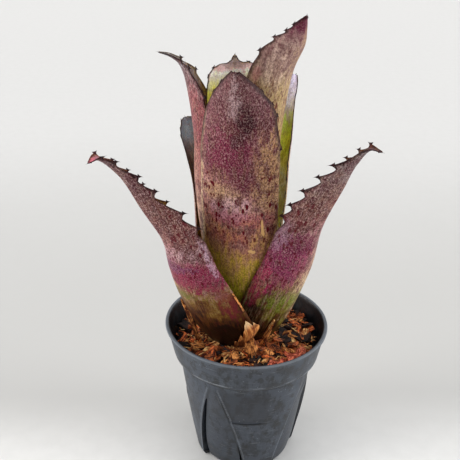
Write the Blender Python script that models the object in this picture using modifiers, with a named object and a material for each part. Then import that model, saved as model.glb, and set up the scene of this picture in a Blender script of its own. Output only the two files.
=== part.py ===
"""A hohenbergia, a stiff, spined bromeliad, growing in a slotted nursery pot filled with bark chips.

Lengths in the tables are millimetres and angles are degrees. Every mesh is written in metres, +Z up, with the
origin at the centre of the pot's underside. Angles about the pot or the plant are counted from the front, which
is -Y, towards +X.
"""

import math
import random

import bmesh
import bpy
import numpy as np
from mathutils import Matrix, Vector

MM = 0.001

# Pot: a thin moulded shell, three wide petals of wall with a sunken scoop between each pair
POT_WALL = 1.2
BODY_TOP = 72.5
BODY_TOP_RADIUS = 42.2
BASE_RADIUS = 31.2
BODY_BULGE = 2.0
COLLAR_OUTSIDE = ((50.0, 92.5), (50.0, 90.8), (48.7, 90.6), (44.9, 73.0))  # radius and height
COLLAR_INSIDE = ((41.0, 73.7), (43.8, 74.4), (47.4, 90.0), (47.6, 92.5))
BODY_HEIGHTS = (72.5, 66.0, 61.0, 54.0, 43.0, 42.2, 34.0, 24.0, 14.0, 6.0, 2.2)
BASE_OUTSIDE = ((30.7, 0.6), (29.6, 0.0))
FLOOR_RING = 12.0
OUT_OF_ROUND = 0.017
OUT_OF_ROUND_TURN = 34.0

PETALS = 3
PETAL_TURN = 17.0
PETAL_COLUMNS = 8
PETAL_HALF_FOOT = 24.0
PETAL_SPREAD = 28.0
PETAL_LEDGE = 42.6  # above this height the left half of a petal is sunken a little
PETAL_LEDGE_DEPTH = 0.5
SCOOP_COLUMNS = 5
SCOOP_TOP = 66.0
SCOOP_FULL = 40.0
SCOOP_DEPTH = 1.8
SCOOP_FOOT = 14.0  # below this height the scoop is tucked in further
SCOOP_FOOT_DEPTH = 1.0
STEP_ANGLE = 0.9

SLOT_FOOT = 2.8
LONG_SLOT = (56.0, 0.7, 3.2)  # height of its tip, width at the tip and at the foot
SHORT_SLOT = (24.0, 0.6, 2.0)
DRAIN_HOLES = 6
DRAIN_RADIUS = 2.8
DRAIN_RING = 16.0

# Growing medium, radius and height: a mound of bark chips that stays a little short of the wall
MEDIUM_PROFILE = (
    (0.0, 83.5), (20.0, 83.3), (33.0, 82.0), (40.5, 79.8), (42.6, 77.6), (41.8, 75.6), (38.6, 74.6), (38.4, 71.0),
    (36.2, 60.0), (31.2, 40.0), (27.0, 15.0), (23.4, 3.0), (22.6, 1.6), (0.0, 1.6),
)
MEDIUM_SHIFT = -0.6
CHIP_COUNT = 54
CHIP_SEED = 11
CHIP_RING = (30.0, 39.5)
RED_CHIPS = ((25.5, -31.0), (31.0, -26.5), (21.0, -34.5), (28.0, -27.0))

# Plant: its axis stands a little left of and behind the pot's
PLANT_AXIS = (-3.0, 3.0)
CROWN_HOLE = ((25.5, 88.0), (23.2, 84.0), (19.6, 80.0), (15.2, 76.0), (14.2, 74.2), (8.6, 74.2), (8.6, 57.7))
STEM_PROFILE = (
    (0.0, 87.5), (2.2, 87.0), (3.4, 84.3), (5.8, 81.5), (7.9, 78.5), (9.5, 76.2), (10.0, 75.5), (8.3, 74.7),
)
STEM_FOOT = 58.0

# Leaves: the middle line of each is given by its reach from the plant's axis and its height at nine stations
BLADE = 0.8
TIGHTEST_ROLL = 2.0  # radius of a leaf's middle surface
ROWS = 22
COLUMNS = 8
PATH_AT = (0, 0.12, 0.28, 0.45, 0.62, 0.76, 0.87, 0.95, 1)
WIDTH_AT = (0, 0.12, 0.3, 0.5, 0.7, 0.82, 0.91, 0.97, 1)
CURL_AT = (0, 0.3, 0.55, 0.8, 1)
TWIST_AT = (0, 0.3, 1)
SPINE_GAP = 11.0
SPINE_LENGTH = 2.3
SPINE_ROOT = 1.2
SPINE_HALF_WIDTH = 0.75
SPINE_HALF_THICKNESS = 0.27
TIP_SPINE_LENGTH = 3.0
LEAVES = {
    "leaf_left_outer": {
        "turn": -54,
        "reach": (13.2, 28.5, 41.5, 48, 53.5, 66.5, 78, 88.5, 93.5),
        "height": (75, 93.5, 120, 139, 161.5, 184.5, 205, 215, 214),
        "half_width": (16.3, 36.5, 37, 30, 20.5, 10.5, 5, 3, 1),
        "curl": (66, 82, 85, 80, 30),
        "twist": (-2, -8, 3),
    },
    "leaf_right_outer": {
        "turn": 52,
        "reach": (11, 13, 26, 42.5, 51, 63.5, 70.5, 78, 84),
        "height": (76, 78, 95, 136, 167.5, 194.5, 210, 219, 219),
        "half_width": (12.5, 20, 30, 26.4, 20, 12.5, 6, 2.5, 1),
        "curl": (66, 73, 83, 79, 25),
        "twist": (0, -8, 6),
    },
    "leaf_left_back": {
        "turn": -135,
        "reach": (10.5, 16, 24.5, 28, 30.5, 36, 42.5, 46, 48),
        "height": (77, 87.5, 112, 148, 180.5, 193, 201.5, 207.5, 210),
        "half_width": (13, 24, 29, 23.5, 22, 17, 11.5, 5.5, 1.5),
        "curl": (70, 62, 57, 52, 38),
        "twist": (0, 0, 0),
    },
    "leaf_front": {
        "turn": -8,
        "reach": (9.5, 14.5, 21, 27.5, 32.5, 33.5, 33, 34.5, 37),
        "height": (78.5, 88, 114.5, 149, 181, 205, 228, 244, 254),
        "half_width": (12.2, 18.5, 24, 24.5, 24.5, 24.5, 19.5, 8.5, 2.5),
        "curl": (75, 55, 53, 54, 65),
        "twist": (0, -3, -9),
    },
    "leaf_right_back": {
        "turn": 129,
        "reach": (8.5, 13.5, 20.5, 22.5, 25.5, 28.5, 30.5, 34, 38),
        "height": (80, 93, 117, 155, 183.5, 204.5, 222, 232, 238),
        "half_width": (10.6, 21.6, 28, 26, 20, 17.5, 11.5, 6.5, 2),
        "curl": (76, 76, 55, 54, 33),
        "twist": (0, 0, 2),
    },
    "leaf_left_upright": {
        "turn": -88,
        "reach": (7.5, 13.5, 18.5, 24, 26.5, 27, 32, 38, 45),
        "height": (81.5, 93, 118.5, 153.5, 188, 216, 246, 253.5, 256),
        "half_width": (11.2, 19.3, 26, 26.8, 22, 16.5, 4, 2.2, 0.8),
        "curl": (85, 78, 66, 62, 40),
        "twist": (0, 0, 1),
    },
    "leaf_right_tall": {
        "turn": 60,
        "reach": (6.3, 11.5, 16, 17.5, 19, 24, 31, 33.5, 35),
        "height": (83, 101, 130.5, 170, 214.5, 246.5, 262, 270, 277.5),
        "half_width": (9.9, 16.5, 23, 25, 22.5, 18, 11.5, 5, 0.8),
        "curl": (92, 82, 66, 64, 90),
        "twist": (0, 0, -23),
    },
    "leaf_back": {
        "turn": -171,
        "reach": (5, 8, 12.5, 16, 19, 23.5, 28.5, 30, 30.5),
        "height": (84.5, 101, 126.5, 161.5, 201, 229.5, 240.5, 244, 247.5),
        "half_width": (8.2, 13.6, 20.5, 25, 25, 20, 10, 2.5, 0.8),
        "curl": (100, 88, 82, 71, 78),
        "twist": (0, 0, -6),
    },
}

# Colours as linear RGB
COLOURS = {
    "pot": (0.032, 0.036, 0.042),
    "bark_medium": (0.20, 0.085, 0.035),
    "red_chips": (0.33, 0.09, 0.05),
    "stem": (0.20, 0.12, 0.06),
    "dry_sheath_front": (0.55, 0.27, 0.09),
    "dry_sheath_left": (0.45, 0.25, 0.10),
    "leaf_left_outer": (0.17, 0.06, 0.055),
    "leaf_right_outer": (0.19, 0.075, 0.06),
    "leaf_left_back": (0.09, 0.10, 0.075),
    "leaf_front": (0.13, 0.055, 0.06),
    "leaf_right_back": (0.15, 0.19, 0.05),
    "leaf_left_upright": (0.16, 0.07, 0.07),
    "leaf_right_tall": (0.18, 0.10, 0.08),
    "leaf_back": (0.24, 0.20, 0.08),
}


def clear_scene():
    """Remove everything that the file starts with."""
    for obj in list(bpy.data.objects):
        bpy.data.objects.remove(obj, do_unlink=True)


def new_collection(name, hidden=False):
    collection = bpy.data.collections.new(name)
    collection.hide_render = hidden
    bpy.context.scene.collection.children.link(collection)
    return collection


def new_material(name, roughness=0.6):
    material = bpy.data.materials.new(name)
    material.use_nodes = True
    shader = material.node_tree.nodes["Principled BSDF"]
    shader.inputs["Base Color"].default_value = (*COLOURS[name], 1)
    shader.inputs["Roughness"].default_value = roughness
    shader.inputs["Metallic"].default_value = 0
    return material


def object_from(bm, name, collection, roughness=None):
    """Turn a bmesh in millimetres into an object in metres; without a roughness it gets no material."""
    bmesh.ops.scale(bm, vec=(MM, MM, MM), verts=bm.verts)
    mesh = bpy.data.meshes.new(name)
    bm.to_mesh(mesh)
    bm.free()
    obj = bpy.data.objects.new(name, mesh)
    collection.objects.link(obj)
    if roughness is not None:
        mesh.materials.append(new_material(name, roughness))
    return obj


def smoothstep(low, high, value):
    share = min(max((value - low) / (high - low), 0), 1)
    return share * share * (3 - 2 * share)


def read_at(stations, values, place):
    """The value at a place between stations, on a smooth curve through the values given at them."""
    stations = np.asarray(stations, float)
    values = np.asarray(values, float)
    slopes = np.gradient(values, stations)
    i = min(max(int(np.searchsorted(stations, place, side="right")) - 1, 0), len(stations) - 2)
    step = stations[i + 1] - stations[i]
    t = (place - stations[i]) / step
    return float(
        (2 * t**3 - 3 * t**2 + 1) * values[i]
        + (t**3 - 2 * t**2 + t) * step * slopes[i]
        + (3 * t**2 - 2 * t**3) * values[i + 1]
        + (t**3 - t**2) * step * slopes[i + 1]
    )


def round_axis(turn, radius, height):
    """A point at an angle from the front, at a radius and a height."""
    angle = math.radians(turn)
    return Vector((radius * math.sin(angle), -radius * math.cos(angle), height))


def bake_modifiers(obj):
    """Replace an object's mesh by what its modifiers make of it."""
    graph = bpy.context.evaluated_depsgraph_get()
    mesh = bpy.data.meshes.new_from_object(obj.evaluated_get(graph))
    mesh.name = obj.name
    obj.modifiers.clear()
    obj.data = mesh


def combine(obj, others, operation, solver="EXACT"):
    """Join a collection's meshes to an object, or cut them from it, and remove them."""
    boolean = obj.modifiers.new(operation.lower(), "BOOLEAN")
    boolean.operand_type = "COLLECTION"
    boolean.collection = others
    boolean.operation = operation
    boolean.solver = solver
    bake_modifiers(obj)
    for other in list(others.objects):
        bpy.data.objects.remove(other, do_unlink=True)
    bpy.data.collections.remove(others)


# Leaves


def leaf_frame(leaf, place):
    """Middle point of a leaf at a place from 0, its base, to 1, its tip, with its side and inward directions."""
    outward = round_axis(leaf["turn"], 1, 0)
    side = round_axis(leaf["turn"] + 90, 1, 0)

    def middle(at):
        reach = read_at(PATH_AT, leaf["reach"], at)
        height = read_at(PATH_AT, leaf["height"], at)
        return Vector((PLANT_AXIS[0], PLANT_AXIS[1], height)) + reach * outward

    ahead = (middle(min(place + 0.01, 1)) - middle(max(place - 0.01, 0))).normalized()
    inward = ahead.cross(side)
    twist = math.radians(read_at(TWIST_AT, leaf["twist"], place))
    turned_side = math.cos(twist) * side + math.sin(twist) * inward
    turned_inward = math.cos(twist) * inward - math.sin(twist) * side
    return middle(place), ahead, turned_side, turned_inward


def leaf_point(leaf, place, across):
    """Point on a leaf's middle surface; across runs from -1 at one margin to 1 at the other."""
    centre, _, side, inward = leaf_frame(leaf, place)
    half_width = max(read_at(WIDTH_AT, leaf["half_width"], place), 0.6)
    curl = math.radians(read_at(CURL_AT, leaf["curl"], place))
    radius = max(half_width / curl, TIGHTEST_ROLL)
    angle = half_width / radius * across
    return centre + radius * math.sin(angle) * side + radius * (1 - math.cos(angle)) * inward


def leaf_blade(name, leaf, collection):
    """A sheet across the leaf, bent to its curve and given its thickness."""
    bm = bmesh.new()
    bmesh.ops.create_grid(bm, x_segments=COLUMNS, y_segments=ROWS, size=0.5)
    for vert in bm.verts:
        vert.co = leaf_point(leaf, vert.co.y + 0.5, 2 * vert.co.x)
    bmesh.ops.triangulate(bm, faces=bm.faces, quad_method="FIXED")
    obj = object_from(bm, name, collection, roughness=0.45)
    thickness = obj.modifiers.new("thickness", "SOLIDIFY")
    thickness.thickness = BLADE * MM
    thickness.offset = 0
    bake_modifiers(obj)
    return obj


def spine(name, collection, foot, along, thickness_axis, outward, length):
    """A flat thorn from a point on the margin, its root sunk into the blade."""
    bm = bmesh.new()
    bmesh.ops.create_cone(bm, segments=4, radius1=1, radius2=0, depth=1, cap_ends=True)
    bmesh.ops.rotate(bm, verts=bm.verts, cent=(0, 0, 0), matrix=Matrix.Rotation(math.radians(45), 3, "Z"))
    bmesh.ops.translate(bm, verts=bm.verts, vec=(0, 0, 0.5))
    whole = length + SPINE_ROOT
    bmesh.ops.scale(bm, verts=bm.verts, vec=(SPINE_HALF_WIDTH * 1.4, SPINE_HALF_THICKNESS * 1.4, whole))
    turn = Matrix((along, thickness_axis, outward)).transposed()
    bmesh.ops.rotate(bm, verts=bm.verts, cent=(0, 0, 0), matrix=turn)
    bmesh.ops.translate(bm, verts=bm.verts, vec=foot - SPINE_ROOT * outward)
    return object_from(bm, name, collection)


def margin_places(leaf, edge, start, rng):
    """Places along a margin, from start to just short of the tip, a spine's gap apart as measured on the margin."""
    places = []
    walked = SPINE_GAP / 2
    previous = leaf_point(leaf, start, edge)
    for step in range(1, 201):
        place = start + (0.97 - start) * step / 200
        point = leaf_point(leaf, place, edge)
        walked += (point - previous).length
        previous = point
        if walked >= SPINE_GAP:
            walked = rng.uniform(-1.5, 1.5)
            places.append(place)
    return places


def leaf_spines(name, leaf, rng):
    """Thorns along both margins of the blade, leaning towards the tip, and one at the tip."""
    thorns = new_collection(name + "_spines", hidden=True)
    for edge in (-1, 1):
        for place in margin_places(leaf, edge, 0.4, rng):
            foot = leaf_point(leaf, place, edge)
            outward = (foot - leaf_point(leaf, place, edge * 0.9)).normalized()
            ahead = (leaf_point(leaf, place + 0.01, edge) - leaf_point(leaf, place - 0.01, edge)).normalized()
            length = SPINE_LENGTH * rng.uniform(0.75, 1.2)
            pointing = (outward + 0.45 * ahead).normalized()
            flat = pointing.cross(ahead).normalized()
            spine(name + "_spine", thorns, foot, flat.cross(pointing), flat, pointing, length)
    tip, ahead, side, inward = leaf_frame(leaf, 1)
    flat = ahead.cross(side).normalized()
    spine(name + "_tip", thorns, tip, side, flat, ahead, TIP_SPINE_LENGTH)
    return thorns


def make_leaf(name, leaf, collection, seed):
    rng = random.Random(seed)
    obj = leaf_blade(name, leaf, collection)
    combine(obj, leaf_spines(name, leaf, rng), "UNION", "MANIFOLD")
    return obj


# Dry sheaths


def dry_sheath(name, leaf, places, acrosses, stand_off, collection):
    """A strip of dead leaf base that stands against the outside of a leaf, narrowing to its top."""
    low, high = places
    left, right = acrosses
    bm = bmesh.new()
    bmesh.ops.create_grid(bm, x_segments=4, y_segments=6, size=0.5)
    for vert in bm.verts:
        share = vert.co.y + 0.5
        place = low + (high - low) * share
        narrowing = 1 - 0.55 * share
        across = (left + right) / 2 + (right - left) * vert.co.x * narrowing
        point = leaf_point(leaf, place, across)
        sideways = leaf_point(leaf, place, across + 0.05) - leaf_point(leaf, place, across - 0.05)
        upward = leaf_point(leaf, place + 0.01, across) - leaf_point(leaf, place - 0.01, across)
        vert.co = point + stand_off * sideways.cross(upward).normalized()
    obj = object_from(bm, name, collection, roughness=0.7)
    thickness = obj.modifiers.new("thickness", "SOLIDIFY")
    thickness.thickness = 0.8 * MM
    thickness.offset = 0
    return obj


# Turned pieces: the stem, the mound of bark and the hole in it


def turned(name, profile, centre, collection, steps, roughness=None):
    """Turn a profile, written from top to bottom, about an upright axis."""
    bm = bmesh.new()
    verts = [bm.verts.new((radius, 0, height)) for radius, height in profile]
    for upper, lower in zip(verts, verts[1:]):
        bm.edges.new((upper, lower))
    obj = object_from(bm, name, collection, roughness)
    obj.location = (centre[0] * MM, centre[1] * MM, 0)
    screw = obj.modifiers.new("turning", "SCREW")
    screw.steps = steps
    screw.render_steps = steps
    screw.use_merge_vertices = True
    screw.merge_threshold = 0.0001
    return obj


def chip(name, collection, centre, size, rng):
    """A splinter of bark: a block with uneven corners, lying at some turn and tilt."""
    bm = bmesh.new()
    bmesh.ops.create_cube(bm, size=1)
    for vert in bm.verts:
        vert.co *= rng.uniform(0.78, 1.1)
    bmesh.ops.scale(bm, verts=bm.verts, vec=size)
    turn = Matrix.Rotation(rng.uniform(0, math.tau), 3, "Z")
    tilt = Matrix.Rotation(math.radians(rng.uniform(-16, 16)), 3, "X")
    lean = Matrix.Rotation(math.radians(rng.uniform(-16, 16)), 3, "Y")
    bmesh.ops.rotate(bm, verts=bm.verts, cent=(0, 0, 0), matrix=turn @ tilt @ lean)
    bmesh.ops.translate(bm, verts=bm.verts, vec=centre)
    return object_from(bm, name, collection)


def mound_height(x, y):
    """Height of the plain mound under a point."""
    radius = math.hypot(x - MEDIUM_SHIFT, y)
    top = MEDIUM_PROFILE[:5]
    return float(np.interp(radius, [stop[0] for stop in top], [stop[1] for stop in top]))


def make_medium(collection, cutters):
    obj = turned("bark_medium", MEDIUM_PROFILE, (MEDIUM_SHIFT, 0), collection, 40, roughness=0.85)
    rng = random.Random(CHIP_SEED)
    chips = new_collection("chips", hidden=True)
    while len(chips.objects) < CHIP_COUNT:
        spot = round_axis(rng.uniform(0, 360), CHIP_RING[1] * math.sqrt(rng.uniform(0.2, 1)), 0)
        from_plant = math.hypot(spot.x - PLANT_AXIS[0], spot.y - PLANT_AXIS[1])
        from_red = min(math.hypot(spot.x - x, spot.y - y) for x, y in RED_CHIPS)
        if from_plant < CHIP_RING[0] or from_red < 11 or spot.length > 37:
            continue
        spot.z = mound_height(spot.x, spot.y) - rng.uniform(0.0, 0.8)
        size = (rng.uniform(6, 10), rng.uniform(4, 6.5), rng.uniform(3, 4.5))
        chip("chip", chips, spot, size, rng)
    combine(obj, chips, "UNION", "MANIFOLD")
    hole = turned("crown_hole", hole_profile(), PLANT_AXIS, cutters, 40)
    cut_with(obj, hole)
    return obj


def hole_profile():
    """The crown's hole, closed at its foot and above the mound."""
    return ((0, CROWN_HOLE[0][1]), *CROWN_HOLE, (0, CROWN_HOLE[-1][1]))


def cut_with(obj, cutter):
    cutter.display_type = "WIRE"
    boolean = obj.modifiers.new(cutter.name, "BOOLEAN")
    boolean.object = cutter
    boolean.operation = "DIFFERENCE"
    boolean.solver = "EXACT"


def make_red_chips(collection):
    """A few reddish chips that lie together on the mound as one body."""
    rng = random.Random(CHIP_SEED)
    parts = new_collection("red_parts", hidden=True)
    for x, y in RED_CHIPS:
        centre = Vector((x, y, mound_height(x, y) + 3.8))
        chip("red_part", parts, centre, (9.0, 5.5, 3.2), rng)
    first = parts.objects[0]
    parts.objects.unlink(first)
    collection.objects.link(first)
    first.name = "red_chips"
    first.data.materials.append(new_material("red_chips", 0.8))
    combine(first, parts, "UNION")
    return first


def make_stem(collection):
    profile = (*STEM_PROFILE, (STEM_PROFILE[-1][0], STEM_FOOT), (0, STEM_FOOT))
    return turned("stem", profile, PLANT_AXIS, collection, 28, roughness=0.8)


# Pot


def body_radius(height):
    share = height / BODY_TOP
    return BASE_RADIUS + (BODY_TOP_RADIUS - BASE_RADIUS) * share + BODY_BULGE * share * (1 - share)


def petal_half(height):
    """Half of a petal's width at a height, as an angle."""
    return PETAL_HALF_FOOT + PETAL_SPREAD * (min(height, SCOOP_TOP) / 62) ** 1.7


def scoop_depth(height):
    if height > SCOOP_TOP:
        return 0
    foot = SCOOP_FOOT_DEPTH * smoothstep(SCOOP_FOOT, 0, height)
    return SCOOP_DEPTH * smoothstep(SCOOP_TOP, SCOOP_FULL, height) + foot


def pot_turn(column, height, narrower=0):
    """Angle of a column of the pot's mesh: a petal's columns, then those of the scoop beside it."""
    third, step = divmod(column, PETAL_COLUMNS + SCOOP_COLUMNS)
    half = petal_half(height) - narrower
    middle = PETAL_TURN + third * 360 / PETALS
    if step <= PETAL_COLUMNS:
        return middle + half * (2 * step / PETAL_COLUMNS - 1)
    edge = half + STEP_ANGLE
    across = 360 / PETALS - 2 * edge
    return middle + edge + across * (step - PETAL_COLUMNS - 1) / (SCOOP_COLUMNS - 2)


def pot_sink(column, height):
    """How far a column's surface lies inside the pot's plain body."""
    step = column % (PETAL_COLUMNS + SCOOP_COLUMNS)
    if step > PETAL_COLUMNS:
        return scoop_depth(height)
    if 0 < step < PETAL_COLUMNS / 2 and PETAL_LEDGE < height < BODY_TOP:
        return PETAL_LEDGE_DEPTH
    return 0


def pot_rings():
    """Radius, height, whether it follows the scoops and whether it is inside, from the floor over the rim."""
    inner_heights = [height for height in reversed(BODY_HEIGHTS) if height < BODY_TOP]
    rings = [(0, POT_WALL, False, True), (FLOOR_RING, POT_WALL, False, True)]
    rings.append((BASE_OUTSIDE[1][0] - POT_WALL, POT_WALL, True, True))
    rings += [(body_radius(height) - POT_WALL, height, True, True) for height in inner_heights]
    rings += [(radius, height, False, True) for radius, height in COLLAR_INSIDE]
    rings += [(radius, height, False, False) for radius, height in COLLAR_OUTSIDE]
    rings += [(body_radius(height), height, True, False) for height in BODY_HEIGHTS]
    rings += [(radius, height, True, False) for radius, height in BASE_OUTSIDE]
    return [*rings, (FLOOR_RING, 0, False, False), (0, 0, False, False)]


def pot_point(column, ring):
    """A corner of the pot's mesh. Inside, a petal's edge keeps the wall's thickness from the step outside."""
    radius, height, scooped, inside = ring
    narrower = math.degrees(POT_WALL / radius) if scooped and inside else 0
    turn = pot_turn(column, height, narrower)
    if scooped:
        radius -= pot_sink(column, height)
    radius *= 1 + OUT_OF_ROUND * math.cos(2 * math.radians(turn - OUT_OF_ROUND_TURN))
    return round_axis(turn, radius, height)


def pot_slot(name, turn_at, slot, toward, cutters):
    """A wedge that cuts the wall beside a petal's edge, widening to its foot."""
    tip, tip_width, foot_width = slot
    bm = bmesh.new()
    bmesh.ops.create_grid(bm, x_segments=1, y_segments=5, size=0.5)
    for vert in bm.verts:
        share = vert.co.y + 0.5
        height = SLOT_FOOT + (tip - SLOT_FOOT) * share
        radius = body_radius(height) + 4
        width = foot_width + (tip_width - foot_width) * share
        offset = -0.25 if vert.co.x < 0 else width
        turn = turn_at(height) + toward * math.degrees(offset / radius)
        vert.co = round_axis(turn, radius, height)
    cutter = object_from(bm, name, cutters)
    thickness = cutter.modifiers.new("through the wall", "SOLIDIFY")
    thickness.thickness = 14 * MM
    thickness.offset = 0
    cutter.display_type = "WIRE"
    return cutter


def make_pot(collection, cutters):
    columns = PETALS * (PETAL_COLUMNS + SCOOP_COLUMNS)
    rings = pot_rings()
    rows = len(rings) - 1
    bm = bmesh.new()
    bmesh.ops.create_grid(bm, x_segments=columns, y_segments=rows, size=0.5)
    for vert in bm.verts:
        column = round((vert.co.x + 0.5) * columns)
        row = round((vert.co.y + 0.5) * rows)
        vert.co = pot_point(column, rings[row])
    bmesh.ops.remove_doubles(bm, verts=bm.verts, dist=0.001)
    bmesh.ops.recalc_face_normals(bm, faces=bm.faces)
    pot = object_from(bm, "pot", collection, roughness=0.5)
    slots = new_collection("pot_cutters", hidden=True)
    for petal in range(PETALS):
        middle = PETAL_TURN + petal * 360 / PETALS
        pot_slot("long_slot", lambda z, m=middle: m + petal_half(z), LONG_SLOT, 1, slots)
        pot_slot("short_slot", lambda z, m=middle: m - petal_half(z), SHORT_SLOT, -1, slots)
    for hole in range(DRAIN_HOLES):
        drain_hole(360 * hole / DRAIN_HOLES, slots)
    boolean = pot.modifiers.new("slots and drain holes", "BOOLEAN")
    boolean.operand_type = "COLLECTION"
    boolean.collection = slots
    boolean.operation = "DIFFERENCE"
    boolean.solver = "EXACT"
    return pot


def drain_hole(turn, cutters):
    bm = bmesh.new()
    bmesh.ops.create_cone(bm, segments=12, radius1=DRAIN_RADIUS, radius2=DRAIN_RADIUS, depth=6, cap_ends=True)
    bmesh.ops.translate(bm, verts=bm.verts, vec=round_axis(turn, DRAIN_RING, 0))
    cutter = object_from(bm, "drain_hole", cutters)
    cutter.display_type = "WIRE"
    return cutter


def shade(obj):
    """Smooth shading, with creases where the surface turns sharply."""
    for polygon in obj.data.polygons:
        polygon.use_smooth = True


def main():
    clear_scene()
    parts = new_collection("potted_hohenbergia")
    cutters = new_collection("cutters", hidden=True)
    make_pot(parts, cutters)
    make_medium(parts, cutters)
    make_red_chips(parts)
    make_stem(parts)
    for seed, (name, leaf) in enumerate(LEAVES.items()):
        shade(make_leaf(name, leaf, parts, seed))
    outer = LEAVES["leaf_left_outer"]
    dry_sheath("dry_sheath_front", outer, (0.035, 0.12), (0.62, 0.98), 1.5, parts)
    dry_sheath("dry_sheath_left", outer, (0.03, 0.13), (-0.95, -0.7), 1.5, parts)


main()
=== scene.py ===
# %% [markdown]
# # A potted hohenbergia
#
# A hohenbergia is a bromeliad: a few stiff leaves, channelled like gutters, stand around a crown and
# guard their margins with dark thorns. This one grows in a slotted nursery pot filled with bark chips.
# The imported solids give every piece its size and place. Here each of them is modelled again, finely
# enough to look at closely, and painted with procedural materials.

import math
import random

import bmesh
import bpy
import numpy as np
from mathutils import Matrix, Vector, noise


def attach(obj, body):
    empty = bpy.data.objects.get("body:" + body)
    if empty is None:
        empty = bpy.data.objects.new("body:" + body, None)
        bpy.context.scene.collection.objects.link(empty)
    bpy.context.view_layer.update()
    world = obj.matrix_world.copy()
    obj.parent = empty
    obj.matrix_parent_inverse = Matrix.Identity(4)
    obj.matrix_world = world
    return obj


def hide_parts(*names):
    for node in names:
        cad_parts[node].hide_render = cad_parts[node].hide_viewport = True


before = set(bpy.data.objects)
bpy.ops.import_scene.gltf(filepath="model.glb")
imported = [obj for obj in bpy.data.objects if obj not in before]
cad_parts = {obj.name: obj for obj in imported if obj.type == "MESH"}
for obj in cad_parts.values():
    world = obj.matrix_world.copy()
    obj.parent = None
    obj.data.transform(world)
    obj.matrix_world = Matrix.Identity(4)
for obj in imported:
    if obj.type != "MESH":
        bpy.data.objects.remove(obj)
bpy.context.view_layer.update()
MM = 0.001
print("packed solids:", ", ".join(sorted(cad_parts)))

# %% [markdown]
# ## Turning a bmesh into a piece
#
# Every piece is shaped in millimetres, about the same origin as the pot's underside, and is scaled to
# metres at the very end. Its place is in its vertices, so the object itself stays unturned at the
# origin.


# %% A helper that every piece uses
def finished(name, bm, materials, stands_for=(), smooth=True):
    """Turn a bmesh in millimetres into an object in metres that belongs to the plant's one body."""
    bmesh.ops.scale(bm, vec=(MM, MM, MM), verts=bm.verts)
    mesh = bpy.data.meshes.new(name)
    bm.to_mesh(mesh)
    bm.free()
    for material in materials:
        mesh.materials.append(material)
    mesh.polygons.foreach_set("use_smooth", [smooth] * len(mesh.polygons))
    obj = bpy.data.objects.new(name, mesh)
    bpy.context.scene.collection.objects.link(obj)
    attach(obj, "root")
    if stands_for:
        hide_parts(*stands_for)
    return obj


def round_axis(turn, radius, height):
    """A point at an angle from the front, counted towards +X, at a radius and a height."""
    angle = math.radians(turn)
    return Vector((radius * math.sin(angle), -radius * math.cos(angle), height))


def smoothstep(low, high, value):
    """A smooth rise from 0 at low to 1 at high; it falls instead when low is above high."""
    share = np.clip((value - low) / (high - low), 0, 1)
    return share * share * (3 - 2 * share)


def edges_along(verts, axis):
    """The edges at these corners of a small fresh shape that run along an axis: 0 for X, 2 for Z."""
    found = dict.fromkeys(edge for vert in verts for edge in vert.link_edges)
    return [edge for edge in found if abs(edge.verts[0].co[axis] - edge.verts[1].co[axis]) > 0.5]


print("pieces are shaped in millimetres and finished in metres")


# %% [markdown]
# ## Shader maths as sentences
#
# A procedural material is a small calculation: so much of this colour where that noise is high. Written
# as nodes and links, it is hard to read. This class wraps a node's output, and lets the sums be written
# as Python writes them, so that `1 - mask` makes the Math node that it means.


# %% Sockets that can be added and multiplied
class Value:
    """An output socket of a shader node, for use in sums."""

    def __init__(self, tree, socket):
        self.tree = tree
        self.socket = socket

    def sum_with(self, operation, first, second):
        return self.tree.node("ShaderNodeMath", {"operation": operation}, [first, second])

    def __add__(self, other):
        return self.sum_with("ADD", self, other)

    __radd__ = __add__

    def __sub__(self, other):
        return self.sum_with("SUBTRACT", self, other)

    def __rsub__(self, other):
        return self.sum_with("SUBTRACT", other, self)

    def __mul__(self, other):
        return self.sum_with("MULTIPLY", self, other)

    __rmul__ = __mul__

    def __truediv__(self, other):
        return self.sum_with("DIVIDE", self, other)

    def absolute(self):
        return self.tree.node("ShaderNodeMath", {"operation": "ABSOLUTE"}, [self])


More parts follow.
